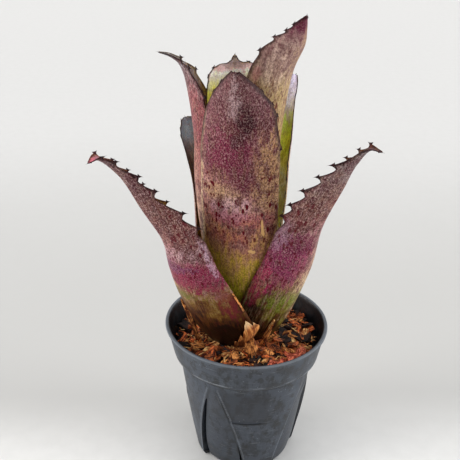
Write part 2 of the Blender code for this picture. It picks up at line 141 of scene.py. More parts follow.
class Paint:
    """A material with a Principled BSDF, and the nodes that feed it."""

    def __init__(self, name, **settings):
        self.material = bpy.data.materials.new(name)
        self.material.use_nodes = True
        self.shader = self.material.node_tree.nodes["Principled BSDF"]
        for socket, value in settings.items():
            self.shader.inputs[socket.replace("_", " ")].default_value = value

    def node(self, kind, settings=None, inputs=(), output=0):
        """Add a node: its settings first, then a number, a colour or a link for each input."""
        node = self.material.node_tree.nodes.new(kind)
        for setting, value in (settings or {}).items():
            setattr(node, setting, value)
        pairs = inputs.items() if isinstance(inputs, dict) else enumerate(inputs)
        for key, value in pairs:
            if isinstance(value, Value):
                self.material.node_tree.links.new(value.socket, node.inputs[key])
            elif value is not None:
                node.inputs[key].default_value = value
        return Value(self, node.outputs[output])

    def feed(self, socket, value):
        self.material.node_tree.links.new(value.socket, self.shader.inputs[socket])

    def uv(self, name):
        return self.node("ShaderNodeUVMap", {"uv_map": name})

    def centimetres(self):
        """The piece's own coordinates, counted in centimetres."""
        place = self.node("ShaderNodeTexCoord", output="Object")
        return self.stretch(place, (100, 100, 100))

    def stretch(self, vector, scale):
        return self.node("ShaderNodeVectorMath", {"operation": "MULTIPLY"}, [vector, scale])

    def axes(self, vector):
        node = self.node("ShaderNodeSeparateXYZ", inputs=[vector])
        return [Value(self, output) for output in node.socket.node.outputs]

    def noise(self, vector, scale, detail=3.0, roughness=0.55, distortion=0.0):
        inputs = {
            "Vector": vector,
            "Scale": scale,
            "Detail": detail,
            "Roughness": roughness,
            "Distortion": distortion,
        }
        return self.node("ShaderNodeTexNoise", inputs=inputs, output="Fac")

    def spots(self, vector, scale, randomness=1.0):
        """Distance to the nearest of many scattered points."""
        inputs = {"Vector": vector, "Scale": scale, "Randomness": randomness}
        return self.node("ShaderNodeTexVoronoi", inputs=inputs, output="Distance")

    def between(self, value, low, high):
        """A mask that rises smoothly from 0 at low to 1 at high; it falls instead when low is above high."""
        settings = {"interpolation_type": "SMOOTHSTEP"}
        ends = (0.0, 1.0) if low < high else (1.0, 0.0)
        inputs = {"Value": value, "From Min": min(low, high), "From Max": max(low, high)}
        inputs.update({"To Min": ends[0], "To Max": ends[1]})
        return self.node("ShaderNodeMapRange", settings, inputs)

    def mix(self, mask, under, over):
        """One colour over another, as far as the mask lets it."""
        node = self.material.node_tree.nodes.new("ShaderNodeMix")
        node.data_type = "RGBA"
        for index, value in ((0, mask), (6, under), (7, over)):
            if isinstance(value, Value):
                self.material.node_tree.links.new(value.socket, node.inputs[index])
            else:
                node.inputs[index].default_value = value
        return Value(self, node.outputs[2])

    def ramp(self, value, stops):
        """Colours along a value, eased from one stop to the next."""
        node = self.material.node_tree.nodes.new("ShaderNodeValToRGB")
        node.color_ramp.interpolation = "EASE"
        elements = node.color_ramp.elements
        elements[0].position = stops[0][0]
        elements[0].color = stops[0][1]
        elements[1].position = stops[-1][0]
        elements[1].color = stops[-1][1]
        for position, colour in stops[1:-1]:
            elements.new(position).color = colour
        self.material.node_tree.links.new(value.socket, node.inputs[0])
        return Value(self, node.outputs[0])

    def bump(self, height, strength, distance):
        inputs = {"Height": height, "Strength": strength, "Distance": distance}
        self.feed("Normal", self.node("ShaderNodeBump", inputs=inputs))


def colour(red, green, blue, lift=1.0):
    """A colour read off as 0 to 255, as the linear value that shaders use."""

    def linear(part):
        share = part / 255
        return share / 12.92 if share <= 0.04045 else ((share + 0.055) / 1.055) ** 2.4

    return tuple(min(linear(part) * lift, 0.9) for part in (red, green, blue)) + (1,)


print("shader helpers ready")

# %% [markdown]
# ## The leaves' shape
#
# Each leaf follows a middle line, given by how far it reaches from the plant's axis and how high it
# stands at nine stations. Across that line the blade bends like a gutter. Width, bend and twist change
# smoothly along it, so a handful of numbers describes a whole leaf, and the same formula serves the
# blade, its thorns and its margins.

# %% The leaves' measurements, in millimetres and degrees
PLANT_AXIS = (-3.0, 3.0)
BLADE = 0.8
MARGIN_SHARE = 0.45  # how thick a blade is at its margin, as a share of its middle
TIGHTEST_ROLL = 2.0  # radius of a leaf's middle surface
NARROWEST = 0.6  # half of the least width that a blade has, at its tip
PATH_AT = (0, 0.12, 0.28, 0.45, 0.62, 0.76, 0.87, 0.95, 1)
WIDTH_AT = (0, 0.12, 0.3, 0.5, 0.7, 0.82, 0.91, 0.97, 1)
CURL_AT = (0, 0.3, 0.55, 0.8, 1)
TWIST_AT = (0, 0.3, 1)
LEAVES = {
    "leaf_left_outer": {
        "turn": -54,
        "reach": (13.2, 28.5, 41.5, 48, 53.5, 66.5, 78, 88.5, 93.5),
        "height": (75, 93.5, 120, 139, 161.5, 184.5, 205, 215, 214),
        "half_width": (16.3, 36.5, 37, 30, 20.5, 10.5, 5, 3, 1),
        "curl": (66, 82, 85, 80, 30),
        "twist": (-2, -8, 3),
    },
    "leaf_right_outer": {
        "turn": 52,
        "reach": (11, 13, 26, 42.5, 51, 63.5, 70.5, 78, 84),
        "height": (76, 78, 95, 136, 167.5, 194.5, 210, 219, 219),
        "half_width": (12.5, 20, 30, 26.4, 20, 12.5, 4.6, 1.7, 0.8),
        "curl": (66, 73, 83, 79, 25),
        "twist": (0, -8, 6),
    },
    "leaf_left_back": {
        "turn": -135,
        "reach": (10.5, 16, 24.5, 28, 30.5, 36, 42.5, 46, 48),
        "height": (77, 87.5, 112, 148, 180.5, 193, 201.5, 207.5, 210),
        "half_width": (13, 24, 29, 23.5, 22, 17, 11.5, 5.5, 1.5),
        "curl": (70, 62, 57, 52, 38),
        "twist": (0, 0, 0),
    },
    "leaf_front": {
        "turn": -8,
        "reach": (9.5, 14.5, 21, 27.5, 32.5, 33.5, 33, 34.5, 37),
        "height": (78.5, 88, 114.5, 149, 181, 205, 228, 244, 254),
        "half_width": (12.2, 18.5, 24, 24.5, 24.5, 24.5, 19.5, 8.5, 2.5),
        "curl": (75, 55, 53, 54, 65),
        "twist": (0, -3, -9),
    },
    "leaf_right_back": {
        "turn": 129,
        "reach": (8.5, 13.5, 20.5, 22.5, 25.5, 28.5, 30.5, 34, 38),
        "height": (80, 93, 117, 155, 183.5, 204.5, 222, 232, 238),
        "half_width": (10.6, 21.6, 28, 26, 20, 17.5, 11.5, 6.5, 2),
        "curl": (76, 76, 55, 54, 33),
        "twist": (0, 0, 2),
    },
    "leaf_left_upright": {
        "turn": -88,
        "reach": (7.5, 13.5, 18.5, 24, 26.5, 27, 32, 38, 45),
        "height": (81.5, 93, 118.5, 153.5, 188, 216, 246, 253.5, 256),
        "half_width": (11.2, 19.3, 26, 26.8, 22, 16.5, 4, 2.2, 0.8),
        "curl": (85, 78, 66, 62, 40),
        "twist": (0, 0, 1),
    },
    "leaf_right_tall": {
        "turn": 60,
        "reach": (6.3, 11.5, 16, 17.5, 19, 24, 31, 33.5, 35),
        "height": (83, 101, 130.5, 170, 214.5, 246.5, 262, 270, 277.5),
        "half_width": (9.9, 16.5, 23, 25, 22.5, 18, 11.5, 5, 0.8),
        "curl": (92, 82, 66, 64, 90),
        "twist": (0, 0, -23),
    },
    "leaf_back": {
        "turn": -171,
        "reach": (5, 8, 12.5, 16, 19, 23.5, 28.5, 30, 30.5),
        "height": (84.5, 101, 126.5, 161.5, 201, 229.5, 240.5, 244, 247.5),
        "half_width": (8.2, 13.6, 20.5, 25, 25, 20, 10, 2.5, 0.8),
        "curl": (100, 88, 82, 71, 78),
        "twist": (0, 0, -6),
    },
}

# How long each leaf's thorns are, how high its keel stands, and where the thorns sit on the margins that
# were looked at closely: -1 is the left margin as seen from outside, 1 the right one
THORNS = {
    "leaf_left_outer": (2.6, 0.45, {1: (0.64, 0.70, 0.795, 0.845, 0.91, 0.95)}),
    "leaf_right_outer": (3.2, 0.5, {-1: (0.635, 0.67, 0.72, 0.785, 0.845)}),
    "leaf_left_back": (1.4, 0.3, {}),
    "leaf_front": (1.3, 0.15, {-1: (0.925, 0.955), 1: (0.795, 0.875, 0.905, 0.94)}),
    "leaf_right_back": (1.6, 0.3, {}),
    "leaf_left_upright": (1.8, 0.35, {1: (0.82, 0.88, 0.91)}),
    "leaf_right_tall": (1.5, 0.4, {-1: (0.81, 0.88, 0.935, 0.965), 1: (0.83, 0.9, 0.975)}),
    "leaf_back": (1.8, 0.3, {1: (0.8, 0.85, 0.95), -1: (0.85, 0.91)}),
}
print("measured leaves:", ", ".join(LEAVES))

# %% [markdown]
# ## From numbers to points
#
# A smooth curve runs through the values given at the stations. Where the middle line heads, and which
# way is sideways and inward from it, make a frame at every place, and the blade's cross section is an
# arc in that frame. The formula takes whole arrays of places, because a blade has thousands of points.


# %% Points on a leaf
def read_at(stations, values, places):
    """Values at places between stations, on a smooth curve through the values given at them."""
    stations = np.asarray(stations, float)
    values = np.asarray(values, float)
    slopes = np.gradient(values, stations)
    i = np.clip(np.searchsorted(stations, places, side="right") - 1, 0, len(stations) - 2)
    step = stations[i + 1] - stations[i]
    t = (places - stations[i]) / step
    return (
        (2 * t**3 - 3 * t**2 + 1) * values[i]
        + (t**3 - 2 * t**2 + t) * step * slopes[i]
        + (3 * t**2 - 2 * t**3) * values[i + 1]
        + (t**3 - t**2) * step * slopes[i + 1]
    )


def leaf_middle(leaf, places):
    outward = np.array(round_axis(leaf["turn"], 1, 0))
    reach = read_at(PATH_AT, leaf["reach"], places)
    height = read_at(PATH_AT, leaf["height"], places)
    return np.array([*PLANT_AXIS, 0]) + reach[..., None] * outward + height[..., None] * np.array([0, 0, 1])


def leaf_frame(leaf, places):
    """The middle line at places from 0, the base, to 1, the tip, with its side and inward directions."""
    side = np.array(round_axis(leaf["turn"] + 90, 1, 0))
    ahead = leaf_middle(leaf, np.minimum(places + 0.01, 1)) - leaf_middle(leaf, np.maximum(places - 0.01, 0))
    ahead /= np.linalg.norm(ahead, axis=-1, keepdims=True)
    inward = np.cross(ahead, side)
    twist = np.radians(read_at(TWIST_AT, leaf["twist"], places))[..., None]
    turned_side = np.cos(twist) * side + np.sin(twist) * inward
    turned_inward = np.cos(twist) * inward - np.sin(twist) * side
    return leaf_middle(leaf, places), ahead, turned_side, turned_inward


def leaf_points(leaf, places, across, raised=0.0, wider=0.0):
    """Points on a leaf's middle surface.

    across runs from -1 at one margin to 1 at the other, raised lifts a point off the surface, away from
    the plant, and wider moves it out past the margin.
    """
    places = np.asarray(places, float)
    across = np.asarray(across, float)
    centre, _, side, inward = leaf_frame(leaf, places)
    half_width = np.maximum(read_at(WIDTH_AT, leaf["half_width"], places), NARROWEST)
    curl = np.radians(read_at(CURL_AT, leaf["curl"], places))
    radius = np.maximum(half_width / curl, TIGHTEST_ROLL)
    angle = (half_width * across + wider) / radius
    out = radius + raised
    sideways = (out * np.sin(angle))[..., None] * side
    return centre + sideways + (radius - out * np.cos(angle))[..., None] * inward


def one_point(leaf, place, across, raised=0.0):
    return Vector(leaf_points(leaf, np.array([place]), np.array([across]), raised)[0])


print("leaf formula ready for", len(LEAVES), "leaves")

# %% [markdown]
# ## Where the thorns sit
#
# The thorns of this plant hook backwards, towards the leaf's foot. The margin runs smoothly onto the
# back of each one and is scooped out beneath it, so it looks like a row of breaking waves. The thorns'
# places come first, and the blade's outline follows from them.

# %% Thorn places
THORN_GAP = 11.0
LOWEST_THORN = 0.42  # places along a leaf between which thorns sit where none are listed
HIGHEST_THORN = 0.965
MILLIMETRES_PER_PLACE = 190.0  # a leaf's length, near enough
MARGIN_FROM = 0.6  # how far across a blade its margin begins to follow the thorns
ARC_RISE = 0.55  # how far the margin rises to a thorn, as a share of the thorn's length
ARC_FALL = 3.0  # how quickly it falls away again towards the tip, in millimetres
ARC_FOOT = 0.6  # and on the side of the leaf's foot
SCOOP_SHARE = 0.14  # depth of the scoop beneath a thorn, as a share of the gap to the next one
SCOOP_DEEPEST = 0.78  # where the scoop is deepest, as a share of the way up to the thorn
DEEPEST_SCOOP = 1.8
SCOOP_OF_WIDTH = 0.18  # no scoop is deeper than this share of half the blade's width
LONG_THORN = 2.6  # thorns shorter than this sit over shallower scoops
LOWEST_SCOOP = 9.0  # how far the scoop under the lowest thorn reaches, in millimetres


def thorn_places(name, edge, rng):
    """Places of the thorns on one margin: those listed, or a gap apart with some unevenness."""
    _, _, listed = THORNS[name]
    if edge in listed:
        return list(listed[edge])
    gap = THORN_GAP / MILLIMETRES_PER_PLACE
    places = []
    place = LOWEST_THORN
    while place < HIGHEST_THORN:
        places.append(round(place, 3))
        place += gap * rng.uniform(0.8, 1.2)
    return places


def margin_arcs(places, across, thorns, length, half_width):
    """How far a blade's margin stands out from its plain outline, near and between the thorns."""
    widening = np.zeros_like(places)
    for edge, spots in thorns.items():
        near_edge = np.clip((across * edge - MARGIN_FROM) / (1 - MARGIN_FROM), 0, 1) ** 2
        lower = spots[0] - LOWEST_SCOOP / MILLIMETRES_PER_PLACE
        for spot in spots:
            gap = (spot - lower) * MILLIMETRES_PER_PLACE
            way_up = (places - lower) / (spot - lower)
            scoop = smoothstep(0, SCOOP_DEEPEST, way_up) * smoothstep(1.0, SCOOP_DEEPEST + 0.04, way_up)
            beyond = (places - spot) * MILLIMETRES_PER_PLACE
            rise = np.exp(-np.abs(beyond) / np.where(beyond >= 0, ARC_FALL, ARC_FOOT))
            deepest = min(SCOOP_SHARE * gap * (length / LONG_THORN) ** 1.5, DEEPEST_SCOOP)
            depth = np.minimum(deepest, SCOOP_OF_WIDTH * half_width)
            widening += edge * near_edge * (ARC_RISE * length * rise - depth * scoop)
            lower = spot
    return widening


thorns_of = {}
for number, name in enumerate(LEAVES):
    rng = random.Random(number)
    thorns_of[name] = {edge: thorn_places(name, edge, rng) for edge in (-1, 1)}
print("thorns on each leaf:", {name: sum(map(len, found.values())) for name, found in thorns_of.items()})

# %% [markdown]
# ## Leaf colours
#
# The colour of these leaves is made of layers. The foot, which sat inside older sheaths, is brown; on the
# two outer leaves it is painted nearly black as painted shade, where their feet crowd together. An olive to
# tan ground shows above it. Over it, the strong light of the nursery has drawn a maroon flush that is
# darkest near the top and turns magenta where the leaf bulges. One ramp along the leaf lays these bands. A
# few soft patches with given places lay what differs from side to side: mostly pale ones under the clouds
# of maroon, some of them painted highlights and sheen, and mostly red ones over them.

# %% Colours of the leaves' outer faces, as read from 0 to 255
LEAF_LIFT = 1.74  # from the colour as read to the colour of the paint
GROUND = colour(158, 126, 84, LEAF_LIFT)
PALE_GROUND = colour(142, 118, 108, LEAF_LIFT)

# A ramp gives colours at places along the leaf. A patch or a flush is a place, a spot across from -1 to 1,
# a length, a width, a colour and a strength, and a scar has the first four of these
OUTSIDE = {
    "leaf_left_outer": {
        "ramp": (
            # the foot is brown, and its near-black stops are painted shade between the crowded leaf bases
            (0.15, (20, 9, 4)), (0.22, (50, 26, 7)), (0.28, (78, 50, 14)), (0.34, (100, 78, 36)),
            (0.39, (122, 92, 66)), (0.43, (104, 50, 46)), (0.50, (116, 60, 68)), (0.56, (136, 92, 92)),
            (0.62, (112, 72, 66)), (0.73, (94, 60, 53)), (0.84, (102, 78, 74)), (0.92, (84, 66, 68)),
            (0.98, (84, 56, 62)),
        ),
        "patches": (
            # the pale lavender left side: partly pale bloom on the skin, partly painted sheen
            (0.60, -0.62, 0.24, 0.60, (164, 138, 142), 0.75),
            (0.56, 0.15, 0.035, 0.8, (152, 126, 132), 0.55),
            (0.44, -0.55, 0.10, 0.50, (168, 118, 120), 0.8),
        ),
        "flush": (
            (0.455, 0.50, 0.080, 0.85, (106, 16, 52), 0.85),
            (0.50, 0.05, 0.028, 0.5, (82, 46, 74), 0.7),
            # painted highlight: a narrow violet-white streak along the right margin
            (0.54, 0.92, 0.09, 0.07, (184, 156, 174), 0.45),
            (0.335, -0.15, 0.025, 0.6, (82, 88, 36), 0.6),
            (0.375, -0.4, 0.02, 0.5, (150, 122, 84), 0.6),
            (0.29, 0.85, 0.08, 0.14, (92, 22, 34), 0.6),
        ),
        "scurf": 0.8, "freckles": 0.8, "ground": PALE_GROUND,
    },
    "leaf_right_outer": {
        "ramp": (
            # the foot is brown, and its near-black stops are painted shade between the crowded leaf bases
            (0.25, (22, 10, 4)), (0.32, (58, 40, 8)), (0.375, (92, 92, 20)), (0.43, (148, 120, 80)),
            (0.50, (130, 68, 76)), (0.57, (132, 88, 92)), (0.65, (104, 68, 60)), (0.74, (102, 76, 68)),
            (0.83, (110, 96, 94)), (0.90, (92, 84, 86)), (0.97, (52, 48, 54)),
        ),
        "patches": (
            (0.45, 0.35, 0.12, 0.5, (176, 148, 118), 0.8),
            (0.62, 0.65, 0.16, 0.35, (152, 128, 128), 0.6),
        ),
        "flush": (
            (0.50, -0.60, 0.090, 0.70, (104, 18, 62), 0.85),
            (0.575, -0.3, 0.035, 0.40, (78, 12, 44), 0.8),
            # painted highlight: a lilac sheen near the left margin
            (0.59, -0.85, 0.05, 0.2, (128, 98, 118), 0.5),
            (0.42, -0.85, 0.06, 0.18, (146, 34, 70), 0.55),
            (0.375, 0.1, 0.025, 0.7, (92, 108, 24), 0.6),
        ),
        "scurf": 0.7, "freckles": 0.8, "ground": PALE_GROUND,
    },
    "leaf_left_back": {
        "ramp": ((0.2, (70, 52, 36)), (0.55, (128, 98, 90)), (0.75, (70, 60, 50)), (1.0, (95, 92, 92))),
        "scurf": 0.5, "freckles": 0.4,
    },
    "leaf_front": {
        "ramp": (
            (0.34, (140, 126, 34)), (0.41, (164, 134, 54)), (0.48, (160, 118, 74)), (0.54, (148, 96, 84)),
            (0.61, (152, 104, 104)), (0.68, (124, 80, 78)), (0.76, (98, 52, 60)), (0.85, (84, 44, 52)),
            (0.92, (92, 62, 64)), (1.0, (76, 54, 58)),
        ),
        "patches": (
            (0.70, 0.75, 0.14, 0.40, (150, 116, 76), 0.8),
            (0.66, -0.35, 0.035, 0.5, (168, 140, 96), 0.55),
            # painted highlight: a pale grey sheen near the tip
            (0.93, 0.0, 0.06, 0.24, (150, 130, 132), 0.5),
            (0.61, -0.1, 0.04, 0.5, (170, 134, 142), 0.65),
            (0.64, 0.96, 0.26, 0.08, (180, 146, 108), 0.7),
            (0.60, -0.96, 0.34, 0.10, (186, 158, 122), 0.75),
        ),
        "flush": (
            (0.79, -0.20, 0.06, 0.55, (92, 16, 48), 0.65),
            (0.72, 0.10, 0.05, 0.40, (84, 20, 44), 0.55),
            (0.88, 0.24, 0.040, 0.20, (38, 6, 16), 1.0),
            (0.825, 0.05, 0.022, 0.16, (44, 8, 18), 0.8),
            (0.575, 0.15, 0.030, 0.9, (128, 34, 66), 0.45),
            (0.52, -0.25, 0.025, 0.5, (132, 48, 44), 0.35),
        ),
        "scars": ((0.545, 0.60, 0.030, 0.030), (0.467, 0.36, 0.007, 0.08), (0.47, 0.80, 0.008, 0.07)),
        "scurf": 0.5, "freckles": 1.0, "rim": 2.4, "rim_from": 0.66, "red_from": 0.42,
    },
    "leaf_right_back": {
        "ramp": (
            (0.3, (120, 110, 50)), (0.6, (170, 150, 110)), (0.8, (140, 120, 110)), (1.0, (138, 126, 130)),
        ),
        "scurf": 0.5, "freckles": 0.5,
    },
    "leaf_left_upright": {
        "ramp": (
            (0.3, (128, 102, 64)), (0.5, (170, 134, 114)), (0.66, (142, 94, 86)), (0.78, (120, 70, 72)),
            (0.88, (118, 102, 104)), (0.97, (124, 126, 130)),
        ),
        "patches": ((0.64, -0.2, 0.12, 0.30, (176, 146, 128), 0.7),),
        "flush": ((0.72, 0.55, 0.10, 0.5, (104, 36, 48), 0.55),),
        "scurf": 0.4, "freckles": 0.9,
    },
    "leaf_right_tall": {
        "ramp": (
            (0.3, (112, 98, 44)), (0.55, (138, 116, 74)), (0.70, (146, 124, 86)), (0.77, (154, 133, 110)),
            (0.83, (140, 115, 106)), (0.90, (116, 84, 84)), (0.97, (86, 36, 54)),
        ),
        "patches": (
            (0.86, 0.45, 0.12, 0.45, (124, 96, 66), 0.7),
            # painted highlight: a pale sheen on the left half
            (0.79, -0.42, 0.06, 0.34, (190, 162, 148), 0.45),
        ),
        "flush": ((0.755, -0.80, 0.02, 0.14, (130, 60, 74), 0.5),),
        "scurf": 0.25, "freckles": 0.9, "rim": 1.5, "marked": 0.62,
    },
    "leaf_back": {
        "ramp": ((0.3, (110, 100, 50)), (0.7, (130, 100, 90)), (1.0, (130, 115, 118))),
        "scurf": 0.5, "freckles": 0.5,
    },
}
print("outer faces described:", len(OUTSIDE))

# %% [markdown]
# ## The inner faces
#
# A leaf is seen from inside where it stands across the crown. There it is plainer: no flush and few
# freckles, green to cream low down and greyer towards the tip. A ramp for each leaf is enough.

# %% Colours of the leaves' inner faces
INSIDE = {
    "leaf_left_outer": (
        (0.3, (96, 100, 50)), (0.7, (96, 74, 66)), (0.88, (104, 82, 82)), (0.95, (128, 84, 92)),
        (1.0, (188, 98, 116)),
    ),
    "leaf_right_outer": (
        # painted shade: the dark grey near the tip is the shade inside the hooked tip
        (0.3, (96, 104, 48)), (0.7, (110, 84, 76)), (0.88, (84, 74, 78)), (0.95, (58, 52, 58)),
        (1.0, (74, 60, 62)),
    ),
    "leaf_left_back": (
        (0.5, (112, 98, 78)), (0.68, (60, 54, 44)), (0.78, (60, 64, 62)), (0.87, (88, 102, 110)),
        (1.0, (78, 94, 106)),
    ),
    "leaf_front": ((0.3, (110, 120, 50)), (0.7, (110, 110, 60)), (1.0, (120, 90, 90))),
    "leaf_right_back": (
        (0.45, (196, 176, 120)), (0.58, (200, 180, 140)), (0.66, (176, 178, 84)), (0.73, (120, 154, 50)),
        (0.81, (112, 142, 62)), (0.87, (124, 120, 134)), (1.0, (114, 110, 128)),
    ),
    "leaf_left_upright": (
        (0.3, (84, 86, 46)), (0.75, (84, 62, 62)), (0.88, (96, 96, 104)), (1.0, (112, 122, 128)),
    ),
    "leaf_right_tall": ((0.3, (110, 125, 50)), (0.8, (130, 120, 70)), (1.0, (120, 80, 84))),
    "leaf_back": (
        (0.6, (170, 156, 72)), (0.76, (180, 164, 62)), (0.80, (204, 188, 130)), (0.835, (214, 198, 178)),
        (0.86, (170, 142, 150)), (0.90, (146, 130, 142)), (1.0, (126, 120, 130)),
    ),
}
# painted light: the inner faces of the two back leaves are lifted far brighter, for the light that shines
# through them from behind
INNER_LIFT_WITH_PAINTED_LIGHT = {"leaf_back": 2.25, "leaf_right_back": 4.3, "leaf_left_back": 1.1}  # how bright, where not 1.5
print("inner faces described:", len(INSIDE))

# %% [markdown]
# ## The layers of a leaf's skin
#
# The noises are stretched along the leaf, as its veins run, and they also push the places about, so
# that no band has a straight edge. Then the layers follow, each mixed over the last as far as its mask
# lets it: patches, the ground showing through, maroon clouds, the flush, dark peppering in a fine net,
# silvery scales, pale flecks, freckles, scars and the nearly black, horny margin.

# %% Paint for both faces of every leaf
DEEP_MAROON = colour(82, 16, 36)
FRECKLE = colour(88, 10, 24)
HORN = colour(30, 8, 12)
PEPPER = colour(42, 9, 13)
SCALE_GREY = colour(218, 190, 188)
FLECK = colour(186, 156, 146)
SCAR = colour(222, 176, 116)


def leaf_paint(
    name,
    ramp,
    patches=(),
    flush=(),
    scars=(),
    scurf=0.5,
    freckles=0.5,
    rim=1.0,
    rim_from=0.5,
    lift=LEAF_LIFT,
    glow=0.06,
    marked=1.0,
    red_from=0.30,
    ground=GROUND,
):
    """A leaf's skin, painted in layers; marked says how strongly its bands and marks show."""
    paint = Paint(
        name, Subsurface_Weight=glow, Subsurface_Radius=(1.0, 0.8, 0.35), Subsurface_Scale=0.004,
        Specular_IOR_Level=0.07,
    )
    skin = paint.uv("skin")
    across, place, _ = paint.axes(paint.uv("zones"))
    edge = paint.node("ShaderNodeAttribute", {"attribute_name": "edge"}, output="Fac")
    drift = paint.noise(skin, 0.5, 3)
    mottle = paint.noise(paint.stretch(skin, (2.4, 1.2, 1.0)), 1.0, 5, 0.62)
    streaks = paint.noise(paint.stretch(skin, (8.0, 0.9, 1.0)), 1.0, 4, 0.6)
    dabs = paint.noise(paint.stretch(skin, (6.5, 3.2, 1.0)), 1.0, 3, 0.6)
    net = paint.noise(paint.stretch(skin, (12.0, 7.5, 1.0)), 1.0, 2, 0.8)
    grain = paint.noise(skin, 13.0, 2, 0.8)
    ragged = (mottle - 0.5) * 5.0 + (streaks - 0.5) * 3.0 + (dabs - 0.5) * 3.0

    def patched(tint, spots):
        """Soft patches with ragged edges."""
        for middle, centre, long, wide, shade, strength in spots:
            along = (place - middle) / long
            over = (across - (centre + 1) / 2) / (wide / 2)
            distance = along * along + over * over + ragged
            mask = paint.between(distance, 1.4, 0.1) * strength
            tint = paint.mix(mask, tint, colour(*shade, LEAF_LIFT))
        return tint

    warp = (drift - 0.5) * 0.42 + (mottle - 0.5) * 0.25 + (streaks - 0.5) * 0.24 + (dabs - 0.5) * 0.10
    at = place + warp * marked
    tint = paint.ramp(at, [(stop, colour(*shade, lift)) for stop, shade in ramp])
    tint = patched(tint, patches)

    above_foot = paint.between(place, 0.10, 0.32) * marked
    showing = paint.between(streaks * 0.6 + mottle * 0.4, 0.50, 0.56) * paint.between(place, 0.95, 0.7)
    showing = showing * paint.between(place, 0.24, 0.42)
    tint = paint.mix(showing * above_foot * 0.42, tint, ground)
    reddened = paint.between(place, red_from, red_from + 0.14) * marked
    clouds = paint.between(drift * 0.35 + mottle * 0.65, 0.48, 0.55)
    tint = paint.mix(clouds * reddened * 0.68, tint, DEEP_MAROON)
    dabbed = reddened * 0.25 + above_foot * 0.30
    tint = paint.mix(paint.between(dabs, 0.51, 0.58) * dabbed, tint, DEEP_MAROON)
    tint = patched(tint, flush)
    peppered = above_foot * 0.42 + reddened * 0.22
    tint = paint.mix(paint.between(net, 0.51, 0.44) * peppered, tint, PEPPER)

    dust = paint.between(paint.noise(skin, 1.5, 5, 0.7), 0.44, 0.56)
    scales = paint.between(net, 0.55, 0.62) * paint.between(at, 0.35, 0.7) * (dust * 0.7 + 0.3)
    tint = paint.mix(scales * scurf * 0.65, tint, SCALE_GREY)
    flecks = paint.between(grain, 0.55, 0.60) * above_foot
    tint = paint.mix(flecks * paint.between(place, red_from, red_from + 0.18) * 0.40, tint, FLECK)

    away = paint.spots(paint.stretch(skin, (4.4, 1.9, 1.0)), 1.0) + (grain - 0.5) * 0.2
    chosen = paint.between(paint.noise(skin, 1.6, 3), 0.48, 0.53) * paint.between(at, 0.84, 0.66)
    chosen = chosen * (paint.between(place, red_from, red_from + 0.12) * 0.8 + 0.2)
    tint = paint.mix(paint.between(away, 0.40, 0.30) * chosen * freckles, tint, FRECKLE)

    for middle, centre, long, wide in scars:
        along = (place - middle) / long
        over = (across - (centre + 1) / 2) / (wide / 2) + along * 0.6 + (streaks - 0.5) * 3.0
        tint = paint.mix(paint.between(along * along + over * over, 1.2, 0.7), tint, SCAR)
    dark_margin = paint.between(edge + (dabs - 0.5) * 5.0, 1.8 * rim, 0.3)
    tint = paint.mix(dark_margin * paint.between(place, rim_from, rim_from + 0.18) * 0.9, tint, HORN)
    matte_margin = paint.between(edge, 0.5, 0.1)
    paint.feed("Base Color", tint)
    paint.feed("Roughness", 0.42 + scales * 0.3 + (mottle - 0.5) * 0.2 + matte_margin * 0.5)
    paint.bump(streaks * 0.6 + grain * 0.3 + net * 0.4, 0.7, 0.3 * MM)
    return paint.material


outer_paint = {name: leaf_paint(name + "_outside", **layers) for name, layers in OUTSIDE.items()}
inner_paint = {}
for name, ramp in INSIDE.items():
    lift = INNER_LIFT_WITH_PAINTED_LIGHT.get(name, 1.5)
    inner_paint[name] = leaf_paint(
        name + "_inside", ramp, scurf=0.3, freckles=0.3, lift=lift, glow=0.3, marked=0.4
    )
print("painted", len(outer_paint), "leaves, outside and inside")

# %% [markdown]
# ## Blades
#
# A blade starts as a flat grid whose points are carried onto the leaf's formula. A slight keel along
# the middle and slow waves keep it from looking pressed by a machine. Two sets of UVs travel with it:
# *skin* counts real centimetres, so that grain has the same size on every leaf, and *zones* says how
# far across and along a point is, so that colour knows where it belongs. Solidify then gives the sheet
# its thickness, thinner towards the margins.

# %% Model the blades
SHEET_COLUMNS = 36
SHEET_ROWS = 190
KEEL_PLACE = 0.04  # how far across the blade the keel runs
KEEL_WIDTH = 0.09
MARGIN_TAPER = 3.0  # how far in from the margin a blade has its whole thickness, in millimetres


def waves(leaf_number, across_mm, along_mm):
    """Slow unevenness of a blade's surface."""
    slow = noise.noise(Vector((across_mm / 16, along_mm / 34, leaf_number * 7.3)))
    channel = noise.noise(Vector((across_mm / 4.5, along_mm / 60, leaf_number * 3.1 + 50)))
    return 0.42 * slow + 0.13 * channel


